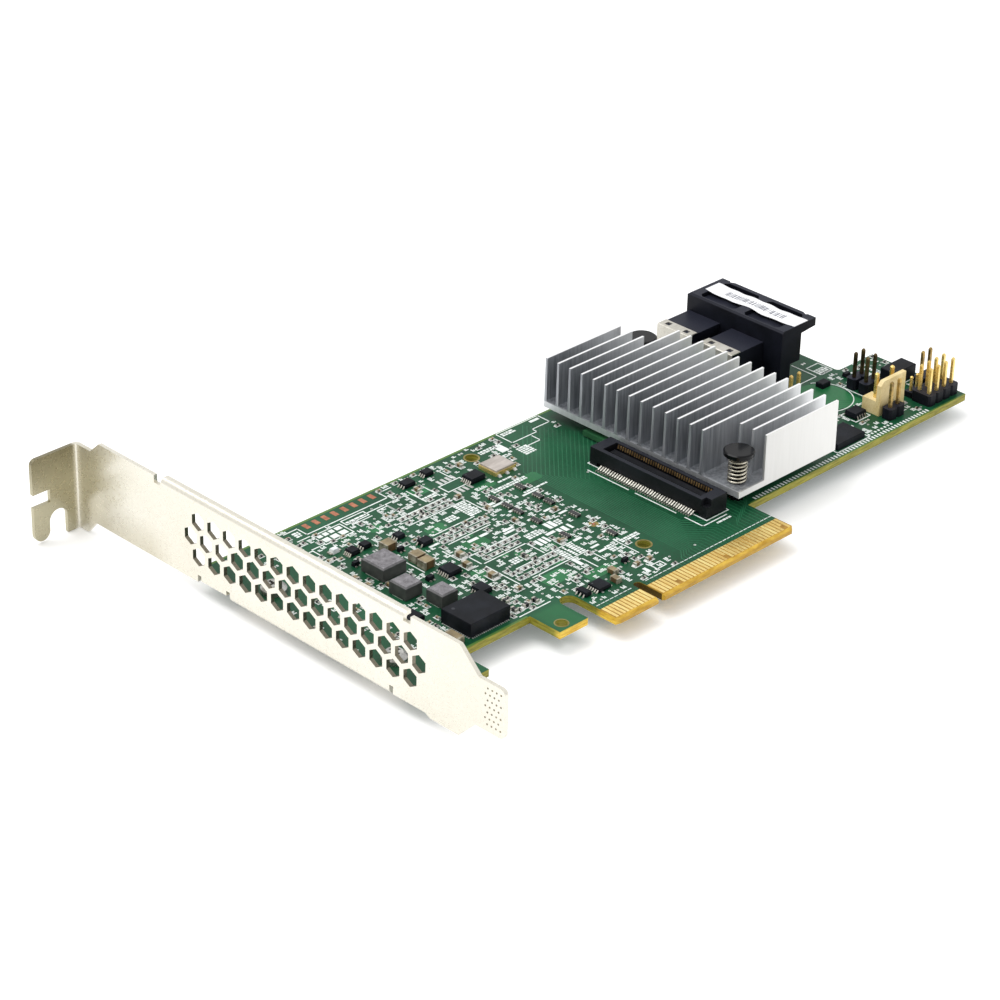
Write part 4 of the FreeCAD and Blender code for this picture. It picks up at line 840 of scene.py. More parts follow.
def ink_frame(x0, y0, x1, y1):
    """Printed rectangle of four bars that meet at the corners without lying on each other."""
    half = INK / 2
    ink_rects.extend([
        (x0 - half, y0 - half, x1 + half, y0 + half), (x0 - half, y1 - half, x1 + half, y1 + half),
        (x0 - half, y0 + half, x0 + half, y1 - half), (x1 - half, y0 + half, x1 + half, y1 - half)])


def ink_ticks(x, y, count, upright=True):
    """Row of short bars of two lengths, the rhythm of printed marks without any letter."""
    for k in range(count):
        start = TICK_STEP * k
        long = TICK_LONG * (0.65 if k % 3 == 1 else 1.0)
        if upright:
            ink_rects.append((x + start, y, x + start + TICK_THICK, y + long))
        else:
            ink_rects.append((x, y + start, x + long, y + start + TICK_THICK))


PLAIN_AREA, BAR_ROW, BAR_GAP, BAR_MIN = 2.6, 0.5, 0.18, 0.3


def ink_block(x0, y0, x1, y1):
    """Dense patch of print: rows of bars with uneven gaps, or one bar where it is small."""
    if (x1 - x0) * (y1 - y0) < PLAIN_AREA:
        ink_rects.append((x0, y0, x1, y1))
        return
    for level in np.arange(y0, y1 - BAR_ROW + 0.01, BAR_ROW + BAR_GAP):
        edge = x0
        while edge < x1 - BAR_MIN:
            width = min(BAR_MIN + 0.9 * ((edge * 7.3 + level * 3.1) % 1.0), x1 - edge)
            ink_rects.append((edge, level, edge + width, level + BAR_ROW))
            edge += width + BAR_GAP


def put_part(kind, size, x, y, along_x, spare=0.1):
    """Place a two-ended part if its footprint is free; says whether it was placed."""
    length, width, height = PART_SIZES[size]
    pad = 0.28 * width + 0.12
    half_x, half_y = length / 2 + pad, width / 2 + 0.05
    if not along_x:
        half_x, half_y = half_y, half_x
    x0, y0, x1, y1 = about(x, y, half_x, half_y)
    if not is_free(x0, y0, x1, y1, spare):
        return False
    take(x0, y0, x1, y1, spare)
    if along_x:
        ink_rects.append((x0, y0 - 0.24, x1, y0 - 0.04))
    else:
        ink_rects.extend([(x0 - 0.24, y0, x0 - 0.04, y1), (x1 + 0.04, y0, x1 + 0.24, y1)])
    small_parts[kind].append((x, y, length, width, height, pad, float(along_x)))
    return True


PACK_LONG, PACK_WIDE = 2.5, 1.3


def put_pack(x, y):
    """Four-resistor pack along y with a row of four pads on each side."""
    half_x, half_y = PACK_WIDE / 2, PACK_LONG / 2
    packs.append((x - half_x + 0.2, y - half_y, x + half_x - 0.2, y + half_y))
    for k in range(4):
        level = y - half_y + (k + 0.5) * PACK_LONG / 4
        for side_x in (x - half_x + 0.12, x + half_x - 0.12):
            pack_ends.append(about(side_x, level, 0.2, 0.18))
    take(x - half_x - 0.2, y - half_y, x + half_x + 0.2, y + half_y, 0.1)


THREE_LEGGED = [
    (-34.8, 48.5, 1.5, 1.3), (-28.05, 34.85, 1.6, 1.4), (-24.6, 46.6, 1.4, 1.2),
    (4.4, 13.9, 1.4, 1.2), (98.0, 35.2, 1.6, 1.4), (71.0, 24.0, 1.8, 1.4),
]
INDICATOR = (-34.4, 55.1, 2.2, 1.7)
for x, y, size_x, size_y in THREE_LEGGED + [INDICATOR]:
    take(*about(x, y, size_x / 2, size_y / 2), 0.45)
for kept_clear in ((-38.0, 13.2, -26.4, 22.8), (9.2, 53.8, 16.6, 61.0), (80.8, 25.8, 93.2, 38.6)):
    take(*kept_clear)
print("lists ready")

# %% [markdown]
# ## The printed plan
# The white print round the parts is drawn from a plan: straight lines, frames, filled blocks
# and bars, placed by measure.  The places that carry words on a real card get plain bars.

# %% Lines, frames and blocks by measure
LINES = [
    (-33.7, 63.75, -12, 63.75), (-33.7, 63.7, -33.7, 66.8), (-37.2, 66.7, -33.7, 66.7),
    (-12, 63.75, -12, 66.4), (-12, 66.4, -8.6, 66.4), (-19.3, 62, -14.7, 62),
    (-24.5, 60.5, -19.3, 60.5), (-7.4, 57.3, -7.4, 63), (-3.6, 57.3, -3.6, 63),
    (-16, 46.5, -4.6, 46.5), (-16, 42, -4.6, 42), (-16, 32, -4.6, 32), (-13, 26.3, 2.3, 26.3),
    (-13, 21.8, 2.3, 21.8), (-4.6, 27, -4.6, 32), (2.3, 17, 2.3, 21.5), (9, 14.5, 9, 21.2),
    (-25.2, 13.4, -17, 13.4), (-16.6, 56.1, -3, 56.1), (-16.6, 52.6, -11.5, 52.6),
    (-16.6, 35.9, -3, 35.9), (-16.6, 32.4, -16.6, 35.9), (-16.6, 22, -16.6, 31),
    (-12.8, 52.4, -1.2, 52.4), (-37, 62.8, -33.9, 62.8), (-37, 58.6, -33.9, 58.6),
    (-1.2, 46.5, -1.2, 53), (26, 12.7, 26, 17.5), (26, 20, 26, 31), (26, 33, 26, 44.2),
    (26, 12.7, 33, 12.7), (93.1, 39.5, 93.1, 46.5), (84.7, 39.5, 93.1, 39.5), (23, 63, 30.3, 63),
    (30.3, 63, 30.3, 64.4), (30.3, 64.4, 35.5, 64.4), (35.5, 64.4, 35.5, 68), (23, 68, 35.5, 68),
    (23, 63, 23, 68), (-0.8, 16.2, -0.8, 20.3), (-11.6, 19.8, -11.6, 21.8),
    (-18.8, 36.2, -18.8, 40.8), (-26.9, 37.6, -26.9, 43.9), (3.2, 60.8, 3.2, 64.2),
    (18.6, 61.5, 20.4, 64.6), (24.2, 60, 28.2, 60), (28.2, 60, 28.2, 62.4),
]
FRAMES = [
    (-33.6, 58.3, -26.2, 62.5), (-25.4, 61.2, -19.4, 63), (-17, 57.5, -14.3, 61.3),
    (-14.2, 58.5, -9, 62), (-1.4, 57, 4.5, 59.9), (7, 7.7, 9.6, 9.4), (-41.5, 60.2, -38.5, 63.4),
    (-41.2, 55.2, -37.2, 58.2), (-14.9, 22.6, -10.3, 25.6), (-16.4, 42.9, -12.6, 45.3),
    (69.4, 14, 79.9, 21.3), (82.9, 20.1, 87.6, 24.3), (93.3, 26, 99.3, 32.3),
    (101.6, 24.6, 109.7, 29.8), (94.4, 39.4, 98.2, 43.4), (74.6, 31.4, 80.5, 34.8),
    (28.2, 13.7, 34.7, 46.3),
]
BLOCKS = [
    (-10, 48, -7, 50.5), (-5, 46.9, -1.6, 52.2), (5, 50.3, 14.6, 51.6), (9.6, 46.2, 16.2, 46.9),
    (8.5, 45.5, 13, 46), (-12.65, 39.6, -9.95, 40.4), (-9.4, 39.65, -7.2, 40.35),
    (-4.7, 38, -1.7, 38.6), (-5.2, 37.1, -2.2, 37.7), (-3, 32.5, -1.3, 35), (-1, 32.5, 0.6, 35),
    (3, 32.6, 3.9, 35), (4.2, 32.6, 5.2, 35), (5.5, 32.6, 7, 35), (-3.2, 29.2, -2.4, 31.5),
    (-2, 29.2, -1.2, 31.5), (-0.8, 29.2, -0.2, 31.5), (0.6, 31.1, 3, 31.9),
    (3.4, 29.9, 4.3, 31.8), (4.7, 29.9, 5.7, 31.8), (6.4, 29.9, 7, 31.8), (-12, 27.7, -9.6, 30.2),
    (-3, 22.1, -1.3, 26), (-0.8, 22.1, -0.1, 26), (0.4, 22.1, 2.1, 26),
    (-2.85, 18.7, -1.95, 21.5), (2.9, 25.9, 5.1, 26.6), (3.4, 21.7, 5.6, 22.3),
    (3.4, 19.6, 5.6, 20.2), (5.6, 18, 7.4, 21), (4.8, 7.9, 5.6, 9.7), (13.2, 7.4, 15, 8.2),
    (1.8, 42.7, 4, 43.3), (2, 37.7, 4.2, 38.3), (7, 38.1, 9.2, 38.7), (8.6, 35.4, 10.8, 36),
    (9.6, 24.4, 12, 25), (0.3, 47.3, 2.3, 48.1), (0.9, 46.4, 3.9, 47), (-7.2, 57.6, -3.8, 59.4),
    (23.6, 66.2, 27.4, 67.5), (29, 65.2, 30.8, 67.4), (32.2, 66.6, 34.8, 67.4),
    (28.4, 65.4, 28.9, 67.4), (24.05, 26, 24.55, 29.8), (24.05, 31, 24.55, 32.4),
    (24.05, 33, 24.55, 34.6), (24.05, 35.4, 24.55, 36.8), (29, 11.4, 33.4, 12),
    (94.6, 39.1, 98, 42.1), (-33, 60.9, -31.9, 62), (-31.5, 60.9, -30.3, 62),
    (-29.9, 60.9, -28.8, 62), (-28.3, 60.9, -26.8, 62), (-33, 58.9, -31.4, 60.3),
    (-30.9, 58.9, -29.2, 60.3), (-28.7, 58.9, -26.9, 60.3), (-25, 61.6, -19.8, 62.6),
    (14.5, 63.6, 19.4, 65.2), (21.5, 57.4, 24.6, 61.2), (8.8, 52.8, 12.6, 53.6),
    (20.4, 54.4, 23, 55.2), (-36, 64, -34.4, 66.2), (9.6, 19.2, 14.6, 20.4),
    (-18.9, 38.4, -17.2, 41.2), (-19.6, 43.4, -17, 44), (-15.6, 66.6, -13, 67.6),
    (35.2, 17, 36.4, 19.4), (88.6, 37.2, 91.2, 38), (99.8, 31, 101.4, 36.2),
    (104, 31, 105.4, 34.6),
]
WIDE_BLOCK = 3
for x0, y0, x1, y1 in LINES:
    ink_line(x0, y0, x1, y1)
    take(min(x0, x1), min(y0, y1), max(x0, x1), max(y0, y1), 0.12)
for rectangle in FRAMES:
    ink_frame(*rectangle)
DASH_START, DASH_END, DASH_STEP, DASH_Y, DASH_LONG = -11.7, 38.8, 1.25, 6.2, 0.85
for start in np.arange(DASH_START, DASH_END, DASH_STEP):
    if abs(start + 0.4) > 1.6:
        ink_line(start, DASH_Y, start + DASH_LONG, DASH_Y, FINE_INK)
for rectangle in BLOCKS:
    if is_free(*rectangle, 0.0) or rectangle[2] - rectangle[0] > WIDE_BLOCK:
        ink_block(*rectangle)
        take(*rectangle, 0.05)
for k in range(4):
    pad_x = -0.1 + 1.23 * k
    pad_rects.extend([(pad_x - 0.35, low_y, pad_x + 0.35, low_y + 1.7) for low_y in (60.2, 55.0)])
take(-1.6, 54.8, 4.7, 62.1)
print(len(ink_rects), "ink marks from the plan")

# %% Rows of parts that stand in order
PACK_COLUMNS = [
    (3.1, (48.5, 44.8, 41.7, 36.7, 28.7)), (10.6, (48.5, 43.5, 40.3, 33.3, 23.1)),
]
for column_x, levels in PACK_COLUMNS:
    for level in levels:
        put_pack(column_x, level)
PARTS_BY_MEASURE = [
    ("capacitor", "small", 0, 39.5, 0), ("capacitor", "small", -5.5, 28.3, 1),
    ("capacitor", "small", -2, 19, 1), ("capacitor", "small", -1.5, 62.5, 0),
    ("capacitor", "small", -5.4, 49.6, 1), ("capacitor", "medium", -17.6, 37.2, 0),
    ("capacitor", "medium", -18.6, 27.4, 0), ("capacitor", "small", -17, 32, 0),
    ("capacitor", "small", -18.2, 20.6, 1), ("capacitor", "small", 5.2, 11.4, 1),
    ("capacitor", "small", 8.4, 11.2, 1), ("capacitor", "medium", -19.4, 33.6, 0),
    ("capacitor", "small", 7.8, 63.2, 0), ("capacitor", "small", 10, 66.4, 1),
    ("resistor", "small", -23.4, 19, 0), ("resistor", "small", -21.6, 15.3, 1),
    ("resistor", "small", -24.4, 15.6, 0), ("resistor", "small", -19, 15.3, 0),
    ("capacitor", "small", -35.4, 38.4, 0), ("capacitor", "small", -38.4, 41, 0),
    ("capacitor", "small", -38.4, 44.6, 0), ("resistor", "small", -8.6, 28.4, 0),
]
for kind, size, x, y, along in PARTS_BY_MEASURE:
    put_part(kind, size, x, y, bool(along), 0.05)
CELL_ROWS = [
    (-16, 55.2, 8, 1.66), (-16, 53.4, 8, 1.66), (-16, 44.9, 8, 1.66), (-16, 43.2, 8, 1.66),
    (-15.8, 35, 8, 1.66), (-15.8, 33.2, 7, 1.66), (-15, 25.3, 8, 1.6), (-15, 23.2, 8, 1.6),
    (-38.6, 49.8, 3, 1.6),
]
for row_x, row_y, count, pitch in CELL_ROWS:
    for k in range(count):
        x = row_x + k * pitch
        if put_part("resistor", "tiny", x, row_y, k % 3 != 1, 0.02):
            ink_line(x - 0.75, row_y + 0.62, x + 0.75, row_y + 0.62, FINE_INK)
            if k % 2:
                ink_line(x - 0.82, row_y - 0.5, x - 0.82, row_y + 0.5, FINE_INK)
print({kind: len(found) for kind, found in small_parts.items()})

# %% [markdown]
# ## Filling the rest
# The busy end of a real card has several hundred parts.  Where the plan names none, a seeded
# random draw walks a grid of places and puts a resistor, a capacitor, an empty footprint, a
# row of ticks or a via, as long as the place is free.  The seed makes every run the same.

# %% Draw the filler
draw = np.random.default_rng(20240)
# left, low, right, high, step in x, step in y, share of the places that are used
FILL_AREAS = [
    (-42.6, 13.2, 13.2, 67.6, 1.2, 1.05, 0.95), (-11.6, 7, 12.4, 13, 1.4, 1.15, 0.85),
    (13.2, 52.8, 23, 67.4, 1.3, 1.1, 0.85), (67.2, 15.2, 109.4, 37.4, 1.5, 1.3, 0.75),
    (67.2, 37.4, 98, 67.2, 2.2, 2, 0.4), (-48, 14, -43, 46, 1.9, 1.7, 0.5),
    (-56, 25.5, -48.2, 45.5, 2.2, 2.2, 0.4), (35.4, 57.5, 36, 67, 1.5, 1.5, 0.5),
    (-48, 58.5, -43, 67.4, 1.9, 1.7, 0.5),
]


def fill_place(x, y):
    """One draw at one place: the number picks what is put there."""
    pick = draw.random()
    along = bool(draw.random() < 0.5)
    if pick < 0.30:
        if put_part("resistor", "tiny", x, y, along) and draw.random() < 0.6:
            ink_line(x - 0.7, y + 0.62, x + 0.7, y + 0.62, 0.15)
    elif pick < 0.45:
        put_part("capacitor", "tiny" if pick < 0.40 else "small", x, y, along)
    elif pick < 0.54:
        footprint = about(x, y, 0.6, 0.4)
        if is_free(*footprint):
            pad_rects.extend([(x - 0.55, y - 0.3, x - 0.1, y + 0.3),
                              (x + 0.15, y - 0.3, x + 0.6, y + 0.3)])
            take(*footprint)
    elif pick < 0.92:
        count = int(draw.integers(2, 6))
        width, depth = TICK_STEP * count, TICK_LONG
        if not along:
            width, depth = depth, width
        if is_free(x, y, x + width, y + depth, 0.05):
            ink_ticks(x, y, count, along)
            take(x, y, x + width, y + depth)
    elif is_free(*about(x, y, 0.3, 0.3)):
        via_spots.append((x, y))
        take(*about(x, y, 0.3, 0.3))


for x0, y0, x1, y1, step_x, step_y, share in FILL_AREAS:
    for x in np.arange(x0, x1, step_x):
        for y in np.arange(y0, y1, step_y):
            jitter = draw.uniform(-0.25, 0.25, 2)
            if draw.random() < share:
                fill_place(x + jitter[0], y + jitter[1])
print({kind: len(found) for kind, found in small_parts.items()}, len(ink_rects), "ink marks",
      len(via_spots), "vias")

# %% [markdown]
# ## From lists to meshes
# All parts of a kind become one mesh.  A part's length lies along x or y, so its half sizes are
# swapped by a mask instead of by turning it, which keeps everything in whole arrays.

# %% Build the small parts
END_SHARE = 0.24
UNDER = 0.02


def footprints(parts, length, width, shift):
    """Rectangles on the parts' centres, moved by a shift along each part's length."""
    along = parts[:, 6] > 0.5
    x = parts[:, 0] + np.where(along, shift, 0)
    y = parts[:, 1] + np.where(along, 0, shift)
    half_x, half_y = np.where(along, length, width) / 2, np.where(along, width, length) / 2
    return np.column_stack(about(x, y, half_x, half_y))


def turn_under(mesh_pair):
    """The same mesh on the solder side: mirrored in z, with every face turned round."""
    verts, faces = mesh_pair
    return verts * (1, 1, -1) + (0, 0, BOARD_UNDER), faces[:, ::-1]


def build_small_parts(name, kind, listed, material, place=lambda mesh_pair: mesh_pair):
    """Bodies, caps and solder slopes of one kind of part, on the side that place gives."""
    parts = np.array(listed)
    length, width, height, pad = parts[:, 2:6].T
    end = length * END_SHARE
    body = footprints(parts, length - 2 * end, width - 0.04, 0)
    slot = "chip_epoxy" if kind == "resistor" else "tan_ceramic"
    add_piece(name + "_bodies", place(plates(body, UNDER + 0.02, UNDER + height - 0.02)), slot,
              material)
    caps, slopes = [], []
    for sign in (-1, 1):
        cap = footprints(parts, end, width, sign * (length - end) / 2)
        caps.append(plates(cap, UNDER, UNDER + height))
        low = footprints(parts, end + pad, width + 0.1, sign * (length - end + pad) / 2)
        high = footprints(parts, end * 0.5, width * 0.9, sign * (length / 2 - end * 0.2))
        slopes.append(tapered(low, high, 0.0, 0.26 if kind == "resistor" else 0.34))
    add_piece(name + "_caps", place(join(caps)), "solder", tin_leads)
    add_piece(name + "_solder", place(join(slopes)), "solder")


resistor_glass = finish(
    "resistor_glass", (14, 14, 16), (34, 34, 38), rough=(0.18, 0.3), cloud=700.0)
BODY_FINISH = {"resistor": resistor_glass, "capacitor": MATERIALS["tan_ceramic"]}
for kind, listed in small_parts.items():
    build_small_parts(kind + "s", kind, listed, BODY_FINISH[kind])
add_piece("resistor_packs", plates(packs, 0.05, 0.5), "chip_epoxy", resistor_glass)
add_piece("resistor_pack_ends", plates(pack_ends, 0.0, 0.44), "solder", tin_leads)

# %% Build the ink, the pads and the vias
white_ink = finish(
    "white_print", (205, 212, 208), (244, 248, 246), rough=(0.5, 0.65), cloud=900.0, grain=5000.0)
add_piece("printed_ink", plates(ink_rects, 0.0, INK_HIGH), "label_paper", white_ink)
add_piece("bare_pads", plates(pad_rects, 0.0, PAD_HIGH), "solder")
VIA_HOLE, VIA_RIM, FILLER_RIM, VIA_SIDES = 0.11, 0.27, 0.26, 10
VIAS_BY_MEASURE = [
    (-0.9, 44.9), (4.5, 44.9), (5.7, 41.5), (4.5, 41), (1.1, 42.3), (-2.6, 41.8), (-2.6, 40.3),
    (3.8, 39.4), (-0.6, 36.3), (1.1, 36), (4.9, 36.2), (6.2, 36.5), (7.8, 44.2), (8.7, 44.4),
    (6.9, 43.2), (9, 41), (12.4, 40.4), (13.8, 40.3), (7.9, 35.1), (9, 34.5), (13.8, 33),
    (0.5, 29.2), (1.3, 28.1), (5.6, 28.6), (5.8, 25.3), (8.2, 24.1), (9, 24.3), (7.6, 22.7),
    (9, 22.8), (12.3, 22.8), (13.6, 22.8), (-25, 57.1), (-23, 57.2), (-21.1, 57.4), (-18.2, 56.6),
    (-27.1, 56.8), (-19.8, 55.6), (-21.9, 54.7), (-7.1, 8.9), (-5.8, 8.4), (-10.4, 8.2),
    (-9.3, 7.3), (-4.4, 7.5), (25.4, 43.7), (19.3, 8.9),
]
vias = [ring_mesh(x, y, VIA_HOLE, VIA_RIM, PAD_HIGH, VIA_SIDES) for x, y in VIAS_BY_MEASURE]
vias += [ring_mesh(x, y, VIA_HOLE, FILLER_RIM, PAD_HIGH, VIA_SIDES) for x, y in via_spots]
add_piece("vias", join(vias), "solder")
HOLE_RINGS = [(12.2, 16.0, 1.4, 1.75, 32), (12.2, 64.15, 1.4, 1.75, 32),
              (-21.0, 6.5, 1.25, 1.5, 32), (10.7, 28.2, 0.45, 1.1, 24)]
hole_rings = [ring_mesh(x, y, inner, outer, PAD_HIGH, sides)
              for x, y, inner, outer, sides in HOLE_RINGS]
bronze_copper = finish(
    "hole_copper", (110, 96, 46), (150, 136, 74), metal=0.3, rough=(0.35, 0.5), cloud=500.0)
add_piece("hole_rings", join(hole_rings), "post_metal", bronze_copper)
copper = finish(
    "bare_copper", (140, 80, 54), (192, 124, 92), metal=0.2, rough=(0.4, 0.55), cloud=900.0)
COPPER_ROW = (-31.65, -29.1, -26.6, -24.1, -21.5, -19.0, -16.5, -14.0)
copper_pads = [(x - 0.55, 65.3, x + 0.55, 67.2) for x in COPPER_ROW]
copper_pads += [(10.4, 27.9, 11.0, 28.5), (-37.9, 64.7, -37.0, 65.5)]
add_piece("copper_test_pads", plates(copper_pads, 0.0, PAD_HIGH), "post_metal", copper)

# %% [markdown]
# ## Small transistors and a white indicator
# A small transistor is a black resin block, narrower at the top, with bent legs in front and
# behind.  The indicator lamp near the bracket is a milky block of the same build.

# %% Build the three-legged parts
bodies_low, bodies_high, legs = [], [], []
for x, y, size_x, size_y in THREE_LEGGED:
    half_x, half_y = size_x / 2, size_y / 2 - 0.15
    bodies_low.append(about(x, y, half_x, half_y))
    bodies_high.append(about(x, y, half_x - 0.08, half_y - 0.1))
    for shift, direction in ((-0.45, -1), (0.45, -1), (0.0, 1)):
        near, far = sorted((y + direction * (half_y - 0.1), y + direction * (half_y + 0.4)))
        legs.append((x + shift - 0.17, near, x + shift + 0.17, far))
add_piece("transistor_bodies", tapered(bodies_low, bodies_high, 0.06, 0.95), "chip_epoxy")
add_piece("transistor_legs", plates(legs, 0.0, 0.22), "solder", tin_leads)
milky = finish("milky_lens", (206, 212, 214), (240, 244, 244), rough=(0.25, 0.4), cloud=600.0)
lens = tapered([about(*INDICATOR[:2], 0.9, 0.7)], [about(*INDICATOR[:2], 0.7, 0.5)], 0.02, 0.9)
add_piece("indicator_body", lens, "ivory_plastic", milky)
lens_pads = [(-35.8, 54.5, -35.3, 55.7), (-33.5, 54.5, -33.0, 55.7)]
add_piece("indicator_pads", plates(lens_pads, 0.0, 0.3), "solder", tin_leads)

# %% [markdown]
# ## Pads and feet of the big parts
# The power module is soldered by a row of pads that peep out along its edges, and the gold
# oscillator can stands on feet with solder at their toes.

# %% Place pads and feet
PEEP, PEEP_HALF, PEEP_STEP = 0.34, 0.13, 0.5
module_low, module_high = node_box("power_module")
peeping = []
for axis in range(2):
    starts = np.arange(module_low[axis] + 0.35, module_high[axis] - 0.2, PEEP_STEP)
    near, far = module_low[1 - axis], module_high[1 - axis]
    for along in starts:
        for inner, outer in ((near - PEEP, near - 0.01), (far + 0.01, far + PEEP)):
            low, high = (along - PEEP_HALF, inner), (along + PEEP_HALF, outer)
            peeping.append((*low, *high) if axis == 0 else (*low[::-1], *high[::-1]))
add_piece("module_pads", plates(peeping, 0.0, 0.1), "solder")
can_low, can_high = node_box("oscillator_base")
toes_low, toes_high = [], []
for x in np.linspace(can_low[0] + 0.7, can_high[0] - 0.7, 3):
    for edge, direction in ((can_low[1], -1), (can_high[1], 1)):
        for toes, half, reach in ((toes_low, 0.4, 0.75), (toes_high, 0.3, 0.3)):
            near, far = sorted((edge + direction * 0.01, edge + direction * reach))
            toes.append((x - half, near, x + half, far))
add_piece("oscillator_toes", tapered(toes_low, toes_high, 0.0, 0.4), "solder")

# %% [markdown]
# ## Springs of round wire
# The springs under the push pins are coiled from round wire.  A point on the wire is the helix
# point plus the wire radius times a turn round the helix direction, so the surface is a grid
# of steps along the coil and steps round the wire.

# %% Coil the springs
WIRE, COIL, TURNS, ROUND_STEPS = 0.23, 1.82, 6, 10
COIL_STEPS = 34 * TURNS
COIL_ROOM = 0.24
springs_low, springs_high = node_box("push_pin_springs")


def coil_mesh(x, y, low, high):
    """Tube of a helix: out and up directions at each step carry a circle of the wire's radius."""
    along = np.linspace(0, 1, COIL_STEPS + 1)
    angle = 2 * np.pi * TURNS * along
    rise = np.clip((along - 0.06) / 0.88, 0, 1) * (high - low) + low
    out = np.column_stack([np.cos(angle), np.sin(angle), 0 * angle])
    centre = np.column_stack([x + COIL * np.cos(angle), y + COIL * np.sin(angle), rise])
    turned = (2 * np.pi * np.arange(ROUND_STEPS) / ROUND_STEPS)[None, :, None]
    wire = np.cos(turned) * out[:, None, :] + np.sin(turned) * (0, 0, 1)
    verts = (centre[:, None, :] + WIRE * wire).reshape(-1, 3)
    end = fan(ROUND_STEPS)
    faces = bands(COIL_STEPS + 1, ROUND_STEPS)[:, ::-1]
    return verts, np.vstack([faces, end, end[:, ::-1] + COIL_STEPS * ROUND_STEPS])


inset = COIL + COIL_ROOM
coils = [coil_mesh(*corner, springs_low[2] + COIL_ROOM, springs_high[2] - COIL_ROOM)
         for corner in (springs_low[:2] + inset, springs_high[:2] - inset)]
springs = add_piece("pin_springs", join(coils), "black_spring", smooth=True)
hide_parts("push_pin_springs")

# %% [markdown]
# ## The paper label
# The label bridges two hollows in the connector's hood.  Paper over a hollow sags a little and
# its long edges wander.  Its height is a sum of two smooth dips, and its long edges are sine
# waves.  The bars on it are plain strips without meaning.

# %% Lay the label
label_low, label_high = node_box("sas_label")
DIPS = (48.75, 61.15)
DIP_HALF = 4.3
SAG = 0.32
PAPER_THICK = 0.08


def label_dip(x, y):
    """Depth of the paper: over each hollow (1 - t^2)^2, with t from -1 to 1 across it."""
    across = np.clip((x - label_low[0]) / (label_high[0] - label_low[0]), 0, 1)
    hollows = sum(np.clip(1 - ((y - middle) / DIP_HALF) ** 2, 0, 1) ** 2 for middle in DIPS)
    return SAG * hollows * (1 - 0.55 * across)


rows, columns = 90, 16
edge_y = np.linspace(label_low[1] + 0.1, label_high[1], rows)
near_edge = label_low[0] + 0.22 + 0.2 * np.sin(edge_y * 0.95)
far_edge = label_high[0] - 0.12 - 0.1 * np.sin(edge_y * 1.3)
label_x = near_edge[:, None] + (far_edge - near_edge)[:, None] * np.linspace(0, 1, columns)
label_y = np.repeat(edge_y[:, None], columns, axis=1)
label_z = label_high[2] + 0.02 - label_dip(label_x, label_y)
paper_verts = np.stack([label_x, label_y, label_z], axis=-1).reshape(-1, 3)
first = (np.arange(rows - 1)[:, None] * columns + np.arange(columns - 1)).reshape(-1)
paper_faces = np.column_stack([first, first + 1, first + columns + 1, first + columns])
paper = add_piece("paper_label", (paper_verts, paper_faces), "label_paper", smooth=True)
solidify = paper.modifiers.new("thickness", "SOLIDIFY")
solidify.thickness = PAPER_THICK * MM
solidify.offset = -1.0
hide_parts("sas_label")
BARS_NEAR, BARS_FAR, BARS_FIRST, BARS_LAST = 88.1, 89.9, 46.2, 62.6
bar_draw = np.random.default_rng(7)
bars, edge = [], BARS_FIRST
while edge < BARS_LAST:
    wide = float(bar_draw.choice((0.12, 0.2, 0.34)))
    bars.append((BARS_NEAR, edge, BARS_FAR, edge + wide))
    edge += wide + float(bar_draw.choice((0.16, 0.22, 0.4)))
bar_verts, bar_faces = plates(bars, label_high[2] + 0.005, label_high[2] + 0.03)
bar_verts[:, 2] -= label_dip(bar_verts[:, 0], bar_verts[:, 1])
grey_print = finish("grey_print", (84, 86, 98), (132, 134, 144), rough=(0.5, 0.6), cloud=900.0)
add_piece("label_bars", (bar_verts, bar_faces), "label_paper", grey_print)

# %% [markdown]
# ## Inside the module socket
# The long socket holds a row of sprung contacts in its far wall.  Only their bent tips catch
# the light, as a row of tan glints in the dark slot.

# %% Add the contact tips
TIP_COUNT, TIP_HALF, WALL_THICK = 40, 0.16, 1.0
_, socket_high = node_box("mezzanine_housing")
contact_low, contact_high = node_box("mezzanine_contacts")
tip_y = np.linspace(contact_low[1] + 0.15, contact_high[1] - 0.15, TIP_COUNT)
wall_x = socket_high[0] - WALL_THICK
tips_low, tips_high = (
    [(wall_x - reach, y - TIP_HALF, wall_x - 0.02, y + TIP_HALF) for y in tip_y]
    for reach in (0.3, 0.08))
tan_metal = finish(
    "tan_contact_metal", (92, 72, 46), (176, 146, 100), metal=0.7, rough=(0.3, 0.42), cloud=800.0)
add_piece("socket_tips", tapered(tips_low, tips_high, 2.9, 3.75), "contact_gold", tan_metal)

# %% [markdown]
# ## Marks on the chips and the bracket's foot
# A moulded dot shows where a chip's first leg is.  The end of the bracket has rows of small
# stamped pits that stiffen it, shown here as thin dark discs: painted shade that stands in
# for the shade inside each pit.

# %% Dots and pits
CHIPS_WITH_DOT = (
    "buffer_chip", "driver_chip", "switch_chip", "gate_chip", "input_chip", "flash_chip",
    "monitor_chip", "power_module", "clock_chip", "sensor_chip", "logic_chip", "regulator_chip")
dots = []
for chip in CHIPS_WITH_DOT:
    low, high = node_box(chip)
    small = min(high[0] - low[0], high[1] - low[1])
    dots.append(disc_mesh(low[0] + 0.2 * small, high[1] - 0.2 * small, high[2] - 0.01,
                          0.05 + 0.04 * small, 0.02))
dot_resin = finish(
    "moulded_dot", (40, 42, 48), (72, 74, 80), rough=(0.5, 0.65), cloud=900.0, shine=0.25)
add_piece("first_leg_dots", join(dots), "chip_epoxy", dot_resin)
PLATE_FACE, PIT_PITCH, PIT_ROW = -59.05, 1.1, 1.25
pit_meshes = []
for row, level in enumerate(np.arange(3.2, 11.2, PIT_ROW)):
    for y in np.arange(-15.0 + PIT_PITCH / 2 * (row % 2), -10.6, PIT_PITCH):
        pit_meshes.append(disc_mesh(y, level, 0.0, 0.2, 0.03))
